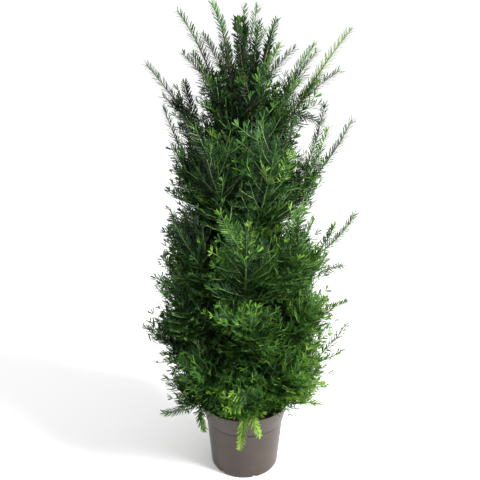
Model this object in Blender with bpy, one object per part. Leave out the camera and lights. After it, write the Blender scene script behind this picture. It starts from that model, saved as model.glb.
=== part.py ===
"""A young English yew in its nursery pot: pot, compost, trunk, boughs and masses of needles.

Metres, +Z up. The origin is the centre of the pot's flat underside, the photograph looks along +Y,
and its right is +X. An azimuth is turned from +X towards +Y, so -90 degrees is the front.
"""

import math
import random

import bmesh
import bpy
import numpy as np
from mathutils import Vector
from mathutils.bvhtree import BVHTree

# Clearance between two pieces that touch in the real plant
GAP = 0.0003

# Pot: a tapered plastic pot with a stepped collar and notches in its bottom corner
POT_HEIGHT = 0.200
POT_RIM_RADIUS = 0.120
COLLAR_HEIGHT = 0.052
COLLAR_FOOT_RADIUS = 0.108
BODY_TOP_RADIUS = 0.105
BODY_FOOT_RADIUS = 0.0935
BODY_FOOT_HEIGHT = 0.018
UNDERSIDE_RADIUS = 0.089
STEP_HEIGHT = 0.003
LIP_HEIGHT = 0.003
LIP_OVERHANG = 0.0012
EDGE_ROUND = 0.0004
POT_WALL = 0.0024
POT_FLOOR = 0.003
POT_SIDES = 36
NOTCH_COUNT = 6
NOTCH_FIRST = -72.0
NOTCH_WIDTH = 0.015
NOTCH_HEIGHT = 0.008
NOTCH_DEPTH = 0.012

# Compost: fills the pot to a little below the rim, and is flat round the trunk's foot
COMPOST_TOP = 0.180
COMPOST_UNEVEN = 0.002
COMPOST_RINGS = (0.66, 0.30)
COMPOST_LUMPS = 5
COMPOST_LUMP_WAVES = 60
COMPOST_FLAT_RADIUS = 0.030
COMPOST_SLOPE = 0.020

# Trunk: one leader from a flat cut on the compost to the foot of the middle shoot
TRUNK_TIP = 1.030
TRUNK_FOOT_RADIUS = 0.0125
TRUNK_TIP_RADIUS = 0.0030
TRUNK_FLARE = 0.0060
TRUNK_FLARE_HEIGHT = 0.022
TRUNK_SWAY = 0.004
TRUNK_SWAY_LENGTH = 0.46
TRUNK_SWAY_RATIO = 0.8
TRUNK_SIDES = 8
TRUNK_RINGS = 12
TRUNK_RING_CROWDING = 1.4

# Limbs: a bough and the stem that goes on from it are one curve that tapers
BOUGH_SIDES = 5
BOUGH_RINGS = 3
STEM_SIDES = 3
STEM_RINGS = 5
LIMB_TIP_RADIUS = 0.0013
LIMB_TAPER = 1.15
LEAVING_SHARE = 0.38
ENDING_SHARE = 0.34
COLLAR_SWELL = 1.2
ROOT_STAGGER = 0.007

# Sprays: a toothed blade on a thin twig, folded upwards a little along its middle
TWIG_HALF_WIDTH = 0.0017
TWIG_DEPTH = 0.0026
TOOTH_SHARES = (0.80, 1.0, 0.95, 0.70)
TEETH = len(TOOTH_SHARES)
NEEDLE_ANGLE = math.radians(48)
NEEDLE_LENGTH = 0.038
TOOTH_START = 0.35
SPRAY_FOLD = 0.30
SPRAY_FOOT = 0.007
BARE_FOOT = 0.0112
TIP_SPRAY = 0.078
TIP_NEEDLE = 0.030
TIP_OVERLAP = 0.02
SPRAY_LEAST = 0.035
SHORTER = 0.86

# How sprays are dealt along a stem: the stretch that carries them, how far a place and a turn
# may differ, how wide they open, in degrees, how much they rise, and how much sizes differ
SPRAY_STRETCH = (0.12, 0.76)
SPRAY_PLACE = (0.2, 0.8)
TURN_UNEVEN = 0.25
OPENING = (42, 60)
SPRAY_RISE = 0.2
SPRAY_SIZES = (0.85, 1.15)
NEEDLE_SIZES = (0.9, 1.1)
BLADE_FORWARD = 0.8

# Cores: a closed lumpy body, as swellings along the stem
CORE_SIDES = 6
CORE_SWELL = (0.75, 1.0, 0.70)
CORE_UNEVEN = (0.66, 1.15)
CORE_STRETCH = (0.06, 0.90)
CORE_LEAST = 0.006
CORE_SHRINK = 0.93
CORE_INSET = 0.030

# Union of a mass: tries with each solver, and how far a later try moves the pieces
FUSE_TRIES = 3
FUSE_NUDGE = 0.0002

# Own space: how much nearer a mass's every point is to its own stem than to another limb
OWN_SPACE = 0.005
LIMB_CLEARANCE = 0.003
POT_CLEARANCE = 0.005

# Tiers of boughs. The angles are how steeply a limb leaves the trunk and how it ends, in degrees,
# and bough is the share of the limb that stays bare. Sprays stand round the stem by the golden angle.
# The two top tiers grow on the trunk itself.
TIERS = {
    "skirt": dict(count=5, first=-90, root=0.226, tip=0.285, reach=0.205, leave=20, end=12, bough=0.28,
                  radius=0.0045, sprays=8, length=0.096, core=0.050),
    "low": dict(count=6, first=-60, root=0.262, tip=0.400, reach=0.252, leave=22, end=44, bough=0.30,
                radius=0.0050, sprays=7, length=0.108, core=0.064),
    "middle": dict(count=6, first=-90, root=0.345, tip=0.560, reach=0.236, leave=30, end=56, bough=0.30,
                   radius=0.0050, sprays=7, length=0.108, core=0.064),
    "upper": dict(count=7, first=-90, root=0.450, tip=0.735, reach=0.204, leave=40, end=64, bough=0.0,
                  radius=0.0044, sprays=7, length=0.108, core=0.060),
    "shoulder": dict(count=6, first=-64, root=0.610, tip=0.930, reach=0.182, leave=52, end=68, bough=0.0,
                     radius=0.0040, sprays=7, length=0.104, core=0.050),
}
# Limbs that the photograph shows reaching further than their tier, as reach and tip height
LONG_LIMBS = {
    "skirt_2": (0.206, 0.212),
    "skirt_5": (0.230, 0.204),
    "low_2": (0.262, 0.345),
    "low_5": (0.268, 0.409),
    "upper_3": (0.297, 0.702),
    "shoulder_2": (0.250, 0.963),
}
TIER_UNEVEN = 0.035
AZIMUTH_UNEVEN = 5.0

# The crown's radius at some heights, past which only the tip of a limb reaches
CROWN_HEIGHTS = (0.13, 0.20, 0.25, 0.31, 0.40, 0.50, 0.60, 0.70, 0.85, 1.00, 1.08, 1.16, 1.215, 1.230)
CROWN_RADII = (0.130, 0.160, 0.205, 0.238, 0.252, 0.238, 0.222, 0.198, 0.192, 0.188, 0.188, 0.172, 0.115, 0.0)

# Long top shoots: root height on the trunk, azimuth, reach and tip height, as the photograph shows
# them, and two at the back that it can't show
LEADER = dict(leave=62, end=52, radius=0.0034, sprays=4, length=0.084, core=0.012)
LEADERS = {
    "leader_left": dict(root=0.850, azimuth=-161, reach=0.158, tip=1.205),
    "leader_back_left": dict(root=0.905, azimuth=140, reach=0.104, tip=1.221),
    "leader_front": dict(root=0.800, azimuth=-78, reach=0.132, tip=1.180),
    "leader_back_right": dict(root=0.880, azimuth=57, reach=0.140, tip=1.182),
    "leader_far_right": dict(root=0.770, azimuth=5, reach=0.244, tip=1.165),
    "leader_right": dict(root=0.825, azimuth=-28, reach=0.168, tip=1.134),
    "leader_far_left": dict(root=0.740, azimuth=-178, reach=0.228, tip=1.088),
    "leader_back": dict(root=0.790, azimuth=98, reach=0.150, tip=1.130),
    "leader_front_left": dict(root=0.815, azimuth=-135, reach=0.160, tip=1.117),
}
LEADER_CENTRE_TIP = (-0.004, 0.000, 1.212)

# Colours are linear, as the photograph shows the real surfaces
POT_TAUPE = (0.185, 0.145, 0.130)
COMPOST_BROWN = (0.020, 0.013, 0.009)
BARK_BROWN = (0.110, 0.058, 0.032)
NEEDLE_GREENS = {
    "skirt": (0.085, 0.190, 0.025),
    "low": (0.062, 0.160, 0.024),
    "middle": (0.044, 0.125, 0.024),
    "upper": (0.032, 0.100, 0.026),
    "shoulder": (0.028, 0.088, 0.026),
    "leader": (0.034, 0.098, 0.028),
}

GOLDEN_ANGLE = math.radians(137.508)


def clear_scene():
    for obj in list(bpy.data.objects):
        bpy.data.objects.remove(obj, do_unlink=True)


def make_material(name, colour, roughness):
    material = bpy.data.materials.new(name)
    material.use_nodes = True
    shader = material.node_tree.nodes["Principled BSDF"]
    shader.inputs["Base Color"].default_value = (*colour, 1.0)
    shader.inputs["Roughness"].default_value = roughness
    shader.inputs["Metallic"].default_value = 0.0
    return material


def make_object(name, points, faces, material=None):
    mesh = bpy.data.meshes.new(name)
    mesh.from_pydata([tuple(point) for point in points], [], faces)
    mesh.validate()
    if material:
        mesh.materials.append(material)
    obj = bpy.data.objects.new(name, mesh)
    bpy.context.scene.collection.objects.link(obj)
    face_outwards(mesh)
    return obj


def face_outwards(mesh):
    shape = bmesh.new()
    shape.from_mesh(mesh)
    bmesh.ops.recalc_face_normals(shape, faces=shape.faces)
    if shape.calc_volume(signed=True) < 0:
        bmesh.ops.reverse_faces(shape, faces=shape.faces)
    shape.to_mesh(mesh)
    shape.free()


def turned(profile, sides, height_of=None):
    """Points and faces of a profile of (radius, height) turned round Z, closed at both of its ends."""
    points = [Vector((0, 0, profile[0][1]))]
    for radius, height in profile[1:-1]:
        for side in range(sides):
            angle = math.tau * side / sides
            point = Vector((radius * math.cos(angle), radius * math.sin(angle), height))
            if height_of:
                point.z = height_of(point)
            points.append(point)
    points.append(Vector((0, 0, profile[-1][1])))
    last = len(points) - 1
    rings = len(profile) - 2
    faces = []
    for side in range(sides):
        after = (side + 1) % sides
        faces.append((0, 1 + side, 1 + after))
        for ring in range(rings - 1):
            low = 1 + ring * sides
            high = low + sides
            faces.append((low + side, high + side, high + after, low + after))
        top = 1 + (rings - 1) * sides
        faces.append((last, top + after, top + side))
    return points, faces


def pot_outside():
    """The pot's outer profile from its underside up to the top of the rim."""
    step = POT_HEIGHT - COLLAR_HEIGHT
    return [
        (UNDERSIDE_RADIUS, 0.0),
        (BODY_FOOT_RADIUS - LIP_OVERHANG, 0.3 * BODY_FOOT_HEIGHT),
        (BODY_FOOT_RADIUS, BODY_FOOT_HEIGHT),
        (BODY_TOP_RADIUS, step - STEP_HEIGHT),
        (COLLAR_FOOT_RADIUS, step),
        (POT_RIM_RADIUS - LIP_OVERHANG, POT_HEIGHT - LIP_HEIGHT),
        (POT_RIM_RADIUS, POT_HEIGHT - 0.6 * LIP_HEIGHT),
        (POT_RIM_RADIUS - EDGE_ROUND, POT_HEIGHT),
    ]


def pot_inside():
    """The pot's inner profile from the top of the rim down to the floor."""
    step = POT_HEIGHT - COLLAR_HEIGHT
    return [
        (POT_RIM_RADIUS - POT_WALL, POT_HEIGHT),
        (COLLAR_FOOT_RADIUS - POT_WALL, step + EDGE_ROUND),
        (BODY_TOP_RADIUS - POT_WALL, step - STEP_HEIGHT - EDGE_ROUND),
        (UNDERSIDE_RADIUS - POT_WALL, POT_FLOOR),
    ]


def build_pot():
    profile = [(0.0, 0.0)] + pot_outside() + pot_inside() + [(0.0, POT_FLOOR)]
    points, faces = turned(profile, POT_SIDES)
    pot = make_object("pot", points, faces, make_material("pot_plastic", POT_TAUPE, 0.42))
    cutters = bpy.data.collections.new("notch_cutters")
    bpy.context.scene.collection.children.link(cutters)
    for index in range(NOTCH_COUNT):
        angle = math.radians(NOTCH_FIRST + index * 360 / NOTCH_COUNT)
        bpy.ops.mesh.primitive_cube_add(size=1)
        cutter = bpy.context.object
        cutter.scale = (2 * NOTCH_DEPTH, NOTCH_WIDTH, 2 * NOTCH_HEIGHT)
        cutter.rotation_euler.z = angle
        cutter.location = (UNDERSIDE_RADIUS * math.cos(angle), UNDERSIDE_RADIUS * math.sin(angle), 0)
        for collection in list(cutter.users_collection):
            collection.objects.unlink(cutter)
        cutters.objects.link(cutter)
    apply_boolean(pot, "DIFFERENCE", "EXACT", cutters)
    remove_collection(cutters)
    pot.data.shade_smooth()
    pot.data.set_sharp_from_angle(angle=math.radians(35))
    return pot


def inner_radius(height):
    """The inside radius of the pot at a height."""
    profile = sorted(pot_inside(), key=lambda point: point[1])
    return float(np.interp(height, [point[1] for point in profile], [point[0] for point in profile]))


def build_compost():
    draws = random.Random(11)
    waves = COMPOST_LUMP_WAVES
    lumps = [
        (draws.uniform(-waves, waves), draws.uniform(-waves, waves), draws.uniform(0, math.tau))
        for _ in range(COMPOST_LUMPS)
    ]

    def surface(point):
        if point.z < COMPOST_TOP:
            return point.z
        away = min(1.0, max(0.0, (point.xy.length - COMPOST_FLAT_RADIUS) / COMPOST_SLOPE))
        uneven = sum(math.sin(a * point.x + b * point.y + c) for a, b, c in lumps) / len(lumps)
        return COMPOST_TOP + away * COMPOST_UNEVEN * (uneven - 1)

    collar_foot, body_top, floor = pot_inside()[1:]
    rim = inner_radius(COMPOST_TOP - 2 * COMPOST_UNEVEN) - 2 * GAP
    rows = [(floor[0] - GAP, POT_FLOOR + GAP)]
    rows += [(radius - GAP, height) for radius, height in (body_top, collar_foot)]
    rows.append((rim, COMPOST_TOP))
    rows += [(rim * share, COMPOST_TOP) for share in COMPOST_RINGS]
    profile = [(0.0, POT_FLOOR + GAP)] + rows + [(0.0, COMPOST_TOP)]
    points, faces = turned(profile, POT_SIDES, surface)
    compost = make_object("compost", points, faces, make_material("compost", COMPOST_BROWN, 0.95))
    compost.data.shade_smooth()
    return compost


def trunk_rings():
    """Height, centre and radius of each ring of the trunk, closer together in the flare."""
    foot = COMPOST_TOP + GAP
    rings = []
    for index in range(TRUNK_RINGS + 1):
        height = foot + (TRUNK_TIP - foot) * (index / TRUNK_RINGS) ** TRUNK_RING_CROWDING
        turn = math.tau * (height - foot) / TRUNK_SWAY_LENGTH
        x = TRUNK_SWAY * math.sin(turn)
        y = TRUNK_SWAY * (math.cos(turn * TRUNK_SWAY_RATIO) - 1)
        taper = (height - foot) / (TRUNK_TIP - foot)
        radius = TRUNK_FOOT_RADIUS + (TRUNK_TIP_RADIUS - TRUNK_FOOT_RADIUS) * taper
        radius += TRUNK_FLARE * math.exp(-(height - foot) / TRUNK_FLARE_HEIGHT)
        rings.append((height, x, y, radius))
    return np.array(rings)


TRUNK = trunk_rings()


def trunk_centre(height):
    """The middle of the trunk as built, straight from ring to ring."""
    x = float(np.interp(height, TRUNK[:, 0], TRUNK[:, 1]))
    y = float(np.interp(height, TRUNK[:, 0], TRUNK[:, 2]))
    return Vector((x, y, height))


def trunk_radius(height):
    return float(np.interp(height, TRUNK[:, 0], TRUNK[:, 3]))


def trunk_shape(margin=0.0):
    """Points and faces of the trunk, grown by a margin on its sides."""
    points = []
    for height, x, y, radius in TRUNK:
        around = float(radius) + margin / math.cos(math.pi / TRUNK_SIDES)
        for side in range(TRUNK_SIDES):
            angle = math.tau * side / TRUNK_SIDES
            points.append(Vector((x + around * math.cos(angle), y + around * math.sin(angle), height)))
    return points, tube_faces(TRUNK_RINGS + 1, TRUNK_SIDES)


def build_trunk():
    trunk = make_object("trunk", *trunk_shape(), make_material("trunk_bark", BARK_BROWN, 0.85))
    trunk.data.shade_smooth()
    trunk.data.set_sharp_from_angle(angle=math.radians(60))
    return trunk


def build_trunk_cutter():
    """A slightly stouter trunk that cuts the roots of the limbs, so that each lies GAP clear of it."""
    cutter = make_object("trunk_cutter", *trunk_shape(GAP))
    cutter.hide_render = True
    cutter.display_type = "WIRE"
    return cutter


def tube_faces(rings, sides):
    faces = [tuple(reversed(range(sides)))]
    for ring in range(rings - 1):
        low = ring * sides
        for side in range(sides):
            after = (side + 1) % sides
            faces.append((low + side, low + after, low + sides + after, low + sides + side))
    faces.append(tuple((rings - 1) * sides + side for side in range(sides)))
    return faces


class Limb:
    """One tapering curve that leaves the trunk, as a bare bough and then the stem of a mass."""

    def __init__(self, name, tier, root, azimuth, reach, tip, leave, end, bough, radius):
        self.name = name
        self.tier = tier
        self.radius = radius
        self.bough = bough
        turn = math.radians(azimuth)
        self.outward = Vector((math.cos(turn), math.sin(turn), 0))
        start = trunk_centre(root)
        finish = self.outward * reach + Vector((0, 0, tip))
        span = (finish - start).length
        leaving = self.heading(leave)
        ending = self.heading(end)
        self.corners = [
            start,
            start + leaving * span * LEAVING_SHARE,
            finish - ending * span * ENDING_SHARE,
            finish,
        ]

    def heading(self, degrees):
        angle = math.radians(degrees)
        return self.outward * math.cos(angle) + Vector((0, 0, math.sin(angle)))

    def at(self, share):
        a, b, c, d = self.corners
        rest = 1 - share
        return a * rest**3 + b * 3 * rest**2 * share + c * 3 * rest * share**2 + d * share**3

    def along(self, share):
        a, b, c, d = self.corners
        rest = 1 - share
        return ((b - a) * rest**2 + (c - b) * 2 * rest * share + (d - c) * share**2).normalized()

    def thickness(self, share):
        return self.radius + (LIMB_TIP_RADIUS - self.radius) * min(1.0, share * LIMB_TAPER)

    def length(self):
        steps = [self.at(index / 20) for index in range(21)]
        return sum((after - before).length for before, after in zip(steps, steps[1:]))

    def tip_share(self):
        """The share of the curve where the stem gives way to its last spray."""
        share = 1.0
        while (self.at(1.0) - self.at(share)).length < TIP_SPRAY:
            share -= 0.002
        return share

    def leaves_trunk(self):
        """The share of the curve at which it comes out of the trunk."""
        share = 0.0
        while True:
            point = self.at(share)
            if (point - trunk_centre(point.z)).xy.length > trunk_radius(point.z):
                return share
            share += 0.004


class MiddleShoot(Limb):
    """The shoot that goes straight on from the trunk's tip."""

    def __init__(self, name, tip, radius):
        self.name = name
        self.tier = "leader"
        self.radius = radius
        self.bough = 0.0
        self.outward = Vector((1, 0, 0))
        start = trunk_centre(TRUNK_TIP) + Vector((0, 0, GAP))
        finish = Vector(tip)
        rise = (finish - start) / 3
        self.corners = [start, start + rise, finish - rise, finish]

    def leaves_trunk(self):
        return 0.0


def across(direction):
    """Two directions square to a limb: level, then the one that points most upwards."""
    level = direction.cross(Vector((0, 0, 1)))
    if level.length < 0.05:
        level = Vector((0, 1, 0))
    level.normalize()
    return level, level.cross(direction).normalized()


def limb_tube(limb, start, finish, sides, rings):
    """Points and faces of a stretch of a limb."""
    points = []
    for ring in range(rings + 1):
        share = start + (finish - start) * ring / rings
        centre = limb.at(share)
        level, upward = across(limb.along(share))
        radius = limb.thickness(share)
        if share == 0:
            radius *= COLLAR_SWELL
        for side in range(sides):
            angle = math.tau * side / sides
            points.append(centre + radius * (level * math.cos(angle) + upward * math.sin(angle)))
    return points, tube_faces(rings + 1, sides)


def spray_points(root, direction, upward, length, needle, bare):
    """A toothed blade on a bare foot: sections of right edge, left edge and keel, the teeth's tips, the apex."""
    sideways = upward.cross(direction).normalized()
    upward = direction.cross(sideways).normalized()
    pitch = (length - bare) / TEETH
    points = []
    for section in range(TEETH + 1):
        along = bare + pitch * (section - 1) if section else 0.0
        centre = root + direction * along
        points.append(centre - sideways * TWIG_HALF_WIDTH)
        points.append(centre + sideways * TWIG_HALF_WIDTH)
        points.append(centre - upward * TWIG_DEPTH)
    for side in (-1, 1):
        for tooth, share in enumerate(TOOTH_SHARES):
            aside = needle * share * math.sin(NEEDLE_ANGLE)
            ahead = bare + pitch * (tooth + TOOTH_START) + needle * share * math.cos(NEEDLE_ANGLE)
            lift = upward * (SPRAY_FOLD * aside)
            points.append(root + direction * ahead + sideways * (side * aside) + lift)
    points.append(root + direction * length)
    return points


def spray_faces():
    """Faces of the blade: each tooth is a flat pyramid between two sections of the twig."""
    sections = TEETH + 1
    apex = 3 * sections + 2 * TEETH
    faces = [(0, 1, 2)]
    for section in range(sections):
        right, left, keel = 3 * section, 3 * section + 1, 3 * section + 2
        last = section == sections - 1
        right_after, left_after, keel_after = (apex,) * 3 if last else (right + 3, left + 3, keel + 3)
        faces.append((right, right_after, left))
        if not last:
            faces.append((left, right_after, left_after))
        tooth = 3 * sections + section - 1
        for edge, edge_after, tip in ((right, right_after, tooth), (left, left_after, tooth + TEETH)):
            if section == 0:
                faces.append((edge, keel, edge_after))
                faces.append((keel, keel_after, edge_after))
                continue
            faces.append((edge, tip, edge_after))
            faces.append((edge, keel, tip))
            faces.append((keel, keel_after, tip))
            if not last:
                faces.append((tip, keel_after, edge_after))
    return faces


class Spaces:
    """Where each limb runs, to tell whether a point is in a mass's own space."""

    def __init__(self, limbs):
        self.names = [limb.name for limb in limbs]
        self.stems = []
        self.bare = []
        for limb in limbs:
            start = max(limb.leaves_trunk(), limb.bough)
            self.stems.append(samples(limb, start, 1.0))
            bough = samples(limb, 0.0, limb.bough) if limb.bough else None
            self.bare.append((limb, bough))

    def holds(self, name, points):
        """Whether all the points are in the named mass's space and clear of trunk, boughs and pot."""
        points = np.array([tuple(point) for point in points])
        own = self.names.index(name)
        near = distance(points, self.stems[own])
        for index, stem in enumerate(self.stems):
            if index != own and (distance(points, stem) < near + OWN_SPACE).any():
                return False
        for limb, bough in self.bare:
            if bough is not None and (distance(points, bough) < limb.radius + LIMB_CLEARANCE).any():
                return False
        if clear_of_trunk(points).min() < LIMB_CLEARANCE:
            return False
        from_axis = np.hypot(points[:, 0], points[:, 1])
        if (from_axis > np.interp(points[:, 2], CROWN_HEIGHTS, CROWN_RADII)).any():
            return False
        low = points[:, 2] < POT_HEIGHT + POT_CLEARANCE
        return not (low & (from_axis < POT_RIM_RADIUS + POT_CLEARANCE)).any()

    def holds_core(self, name, point):
        """Whether a core may reach to this point: in its mass's space, well inside the crown, above the pot."""
        outline = float(np.interp(point.z, CROWN_HEIGHTS, CROWN_RADII))
        if point.xy.length > outline - CORE_INSET or point.z < POT_HEIGHT + 2 * POT_CLEARANCE:
            return False
        return self.holds(name, [point])


def samples(limb, start, finish):
    return np.array([tuple(limb.at(start + (finish - start) * index / 16)) for index in range(17)])


def distance(points, line):
    """The least distance from each point to a line of short straight stretches."""
    start = line[:-1]
    stretch = line[1:] - start
    from_start = points[:, None, :] - start[None, :, :]
    share = (from_start * stretch).sum(axis=2) / (stretch * stretch).sum(axis=1)
    nearest = start + np.clip(share, 0, 1)[:, :, None] * stretch
    return np.sqrt(((points[:, None, :] - nearest) ** 2).sum(axis=2)).min(axis=1)


def clear_of_trunk(points):
    """How far outside the trunk each point lies."""
    x, y, z = points.T
    centre_x = np.interp(z, TRUNK[:, 0], TRUNK[:, 1])
    centre_y = np.interp(z, TRUNK[:, 0], TRUNK[:, 2])
    beside = np.hypot(x - centre_x, y - centre_y) - np.interp(z, TRUNK[:, 0], TRUNK[:, 3])
    return np.where(z > TRUNK_TIP + LIMB_CLEARANCE, 1.0, beside)


def test_points(points):
    """The points of a shape with the middles between neighbours, so that long faces are tested too."""
    middles = [(before + after) / 2 for before, after in zip(points, points[1:])]
    return list(points) + middles


def make_sprays(limb, spaces, sizes, core):
    """Twigs with their sprays, set round the stem by the golden angle and left out where they'd leave its space."""
    draws = random.Random(limb.name)
    core_surface = BVHTree.FromPolygons(*core)
    start = max(limb.leaves_trunk(), limb.bough)
    turn = draws.uniform(0, math.tau)
    shapes = []
    for index in range(sizes["sprays"]):
        place = SPRAY_STRETCH[0] + SPRAY_STRETCH[1] * (index + draws.uniform(*SPRAY_PLACE)) / sizes["sprays"]
        share = start + (1 - start) * place
        turn += GOLDEN_ANGLE + draws.uniform(-TURN_UNEVEN, TURN_UNEVEN)
        direction = limb.along(share)
        level, upward = across(direction)
        aside = level * math.cos(turn) + upward * math.sin(turn)
        opening = math.radians(draws.uniform(*OPENING))
        heading = direction * math.cos(opening) + aside * math.sin(opening)
        heading = (heading + Vector((0, 0, SPRAY_RISE))).normalized()
        root = limb.at(share)
        out = core_surface.ray_cast(root, heading)[3]
        root += heading * max(0.0, (out or 0.0) - SPRAY_FOOT)
        length = sizes["length"] * draws.uniform(*SPRAY_SIZES)
        needle = NEEDLE_LENGTH * draws.uniform(*NEEDLE_SIZES)
        blade_up = direction * BLADE_FORWARD + Vector((0, 0, 1)) - aside * draws.uniform(0, BLADE_FORWARD)
        blade_up.normalize()
        shape = fitted_spray(limb.name, spaces, root, heading, blade_up, length, needle)
        if shape:
            shapes.append(shape)
    root = limb.at(limb.tip_share())
    ending = (limb.at(1.0) - root).normalized()
    shapes.append(spray_points(root, ending, across(ending)[1], TIP_SPRAY, TIP_NEEDLE, SPRAY_FOOT))
    return shapes


def fitted_spray(name, spaces, root, heading, upward, length, needle):
    """The spray as drawn, or the longest shorter one that keeps to its mass's space."""
    while length > SPRAY_LEAST:
        shape = spray_points(root, heading, upward, length, needle, BARE_FOOT)
        if spaces.holds(name, test_points(shape)[3:]):
            return shape
        length *= SHORTER
        needle *= SHORTER
    return None


def make_core(limb, spaces, size):
    """A lumpy body round the stem, smaller than the mass, drawn in where it would leave the mass's space."""
    draws = random.Random(limb.name + "_core")
    start = max(limb.leaves_trunk(), limb.bough)
    first = start + (1 - start) * CORE_STRETCH[0]
    last = min(limb.tip_share(), start + (1 - start) * CORE_STRETCH[1])
    points = [limb.at(first)]
    for ring, swell in enumerate(CORE_SWELL):
        share = first + (last - first) * (ring + 0.5) / len(CORE_SWELL)
        centre = limb.at(share)
        level, upward = across(limb.along(share))
        for side in range(CORE_SIDES):
            angle = math.tau * (side + 0.5 * ring) / CORE_SIDES
            direction = level * math.cos(angle) + upward * math.sin(angle)
            away = size * swell * draws.uniform(*CORE_UNEVEN)
            point = centre + direction * away
            while away > CORE_LEAST and not spaces.holds_core(limb.name, point):
                away *= CORE_SHRINK
                point = centre + direction * away
            points.append(point)
    points.append(limb.at(last))
    end = len(points) - 1
    faces = []
    for side in range(CORE_SIDES):
        after = (side + 1) % CORE_SIDES
        faces.append((0, 1 + after, 1 + side))
        for ring in range(len(CORE_SWELL) - 1):
            low = 1 + ring * CORE_SIDES
            high = low + CORE_SIDES
            faces.append((low + side, low + after, high + side))
            faces.append((low + after, high + after, high + side))
        top = 1 + (len(CORE_SWELL) - 1) * CORE_SIDES
        faces.append((end, top + side, top + after))
    return points, faces


def apply_boolean(obj, operation, solver, other):
    """Cuts or joins with an object or with all the objects of a collection, and keeps the result."""
    modifier = obj.modifiers.new("boolean", "BOOLEAN")
    modifier.operation = operation
    modifier.solver = solver
    if isinstance(other, bpy.types.Collection):
        modifier.operand_type = "COLLECTION"
        modifier.collection = other
    else:
        modifier.object = other
    bpy.context.view_layer.update()
    graph = bpy.context.evaluated_depsgraph_get()
    mesh = bpy.data.meshes.new_from_object(obj.evaluated_get(graph), depsgraph=graph)
    obj.modifiers.remove(modifier)
    old = obj.data
    obj.data = mesh
    bpy.data.meshes.remove(old)
    mesh.name = obj.name


def remove_collection(collection):
    for obj in list(collection.objects):
        bpy.data.objects.remove(obj, do_unlink=True)
    bpy.data.collections.remove(collection)


def fuse(mass, pieces):
    """One closed body from a stem and its pieces: a Boolean union, scraps dropped and hollows filled.

    A union that comes out open is made again, its pieces moved a very little.
    """
    draws = random.Random(mass.name)
    stem = mass.data.copy()
    for attempt, solver in enumerate(("EXACT", "MANIFOLD") * FUSE_TRIES):
        nudge = FUSE_NUDGE * (attempt // 2)
        mass.data = stem.copy()
        mass.data.name = mass.name
        loose = bpy.data.collections.new(mass.name + "_pieces")
        bpy.context.scene.collection.children.link(loose)
        for index, (points, faces) in enumerate(pieces):
            shift = Vector([draws.uniform(-nudge, nudge) for _ in range(3)])
            moved = [point + shift for point in points]
            piece = make_object(f"{mass.name}_piece_{index}", moved, faces)
            bpy.context.scene.collection.objects.unlink(piece)
            loose.objects.link(piece)
        apply_boolean(mass, "UNION", solver, loose)
        remove_collection(loose)
        if keep_one_body(mass.data):
            break


def keep_one_body(mesh):
    """Keeps the largest body of the mesh, and says whether it is closed."""
    shape = bmesh.new()
    shape.from_mesh(mesh)
    bmesh.ops.remove_doubles(shape, verts=shape.verts, dist=1e-6)
    bmesh.ops.dissolve_degenerate(shape, edges=shape.edges, dist=1e-6)
    bmesh.ops.triangulate(shape, faces=shape.faces)
    bodies = []
    left = set(shape.faces)
    while left:
        body = {left.pop()}
        edge_of_body = list(body)
        while edge_of_body:
            face = edge_of_body.pop()
            for edge in face.edges:
                for other in edge.link_faces:
                    if other in left:
                        left.discard(other)
                        body.add(other)
                        edge_of_body.append(other)
        bodies.append(body)
    bodies.sort(key=signed_volume, reverse=True)
    scraps = [face for body in bodies[1:] for face in body]
    bmesh.ops.delete(shape, geom=scraps, context="FACES")
    closed = all(edge.is_manifold and edge.is_contiguous for edge in shape.edges)
    shape.to_mesh(mesh)
    shape.free()
    return closed


def signed_volume(faces):
    total = 0.0
    for face in faces:
        a, b, c = (vert.co for vert in face.verts)
        total += a.dot(b.cross(c)) / 6
    return total


def tier_limbs():
    draws = random.Random(5)
    limbs = []
    for tier, sizes in TIERS.items():
        for index in range(sizes["count"]):
            name = f"{tier}_{index + 1}"
            azimuth = sizes["first"] + index * 360 / sizes["count"] + draws.uniform(-1, 1) * AZIMUTH_UNEVEN
            uneven = 1 + draws.uniform(-1, 1) * TIER_UNEVEN
            reach, tip = LONG_LIMBS.get(name, (sizes["reach"] * uneven, sizes["tip"] * uneven))
            root = sizes["root"] + ROOT_STAGGER * (2 * index % sizes["count"])
            limbs.append(Limb(name, tier, root, azimuth, reach, tip, sizes["leave"],
                              sizes["end"], sizes["bough"], sizes["radius"]))
    return limbs


def leader_limbs():
    limbs = [MiddleShoot("leader_centre", LEADER_CENTRE_TIP, TRUNK_TIP_RADIUS)]
    for name, sizes in LEADERS.items():
        limbs.append(Limb(name, "leader", sizes["root"], sizes["azimuth"], sizes["reach"], sizes["tip"],
                          LEADER["leave"], LEADER["end"], 0.0, LEADER["radius"]))
    return limbs


def build_bough(limb, cutter, material):
    points, faces = limb_tube(limb, 0, limb.bough, BOUGH_SIDES, BOUGH_RINGS)
    bough = make_object(limb.name.replace("_", "_bough_"), points, faces, material)
    apply_boolean(bough, "DIFFERENCE", "EXACT", cutter)
    bough.data.shade_smooth()
    bough.data.set_sharp_from_angle(angle=math.radians(60))
    return bough


def build_mass(limb, spaces, cutter, material):
    sizes = TIERS.get(limb.tier, LEADER)
    at_trunk = not limb.bough and limb.name != "leader_centre"
    start = limb.bough + GAP / limb.length() if limb.bough else 0
    name = limb.name if limb.tier == "leader" else limb.name.replace("_", "_foliage_")
    mass = make_object(name, *limb_tube(limb, start, limb.tip_share() + TIP_OVERLAP, STEM_SIDES, STEM_RINGS), material)
    if at_trunk:
        apply_boolean(mass, "DIFFERENCE", "EXACT", cutter)
    core = make_core(limb, spaces, sizes["core"])
    faces = spray_faces()
    sprays = [(shape, faces) for shape in make_sprays(limb, spaces, sizes, core)]
    fuse(mass, [core] + sprays)
    return mass


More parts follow.
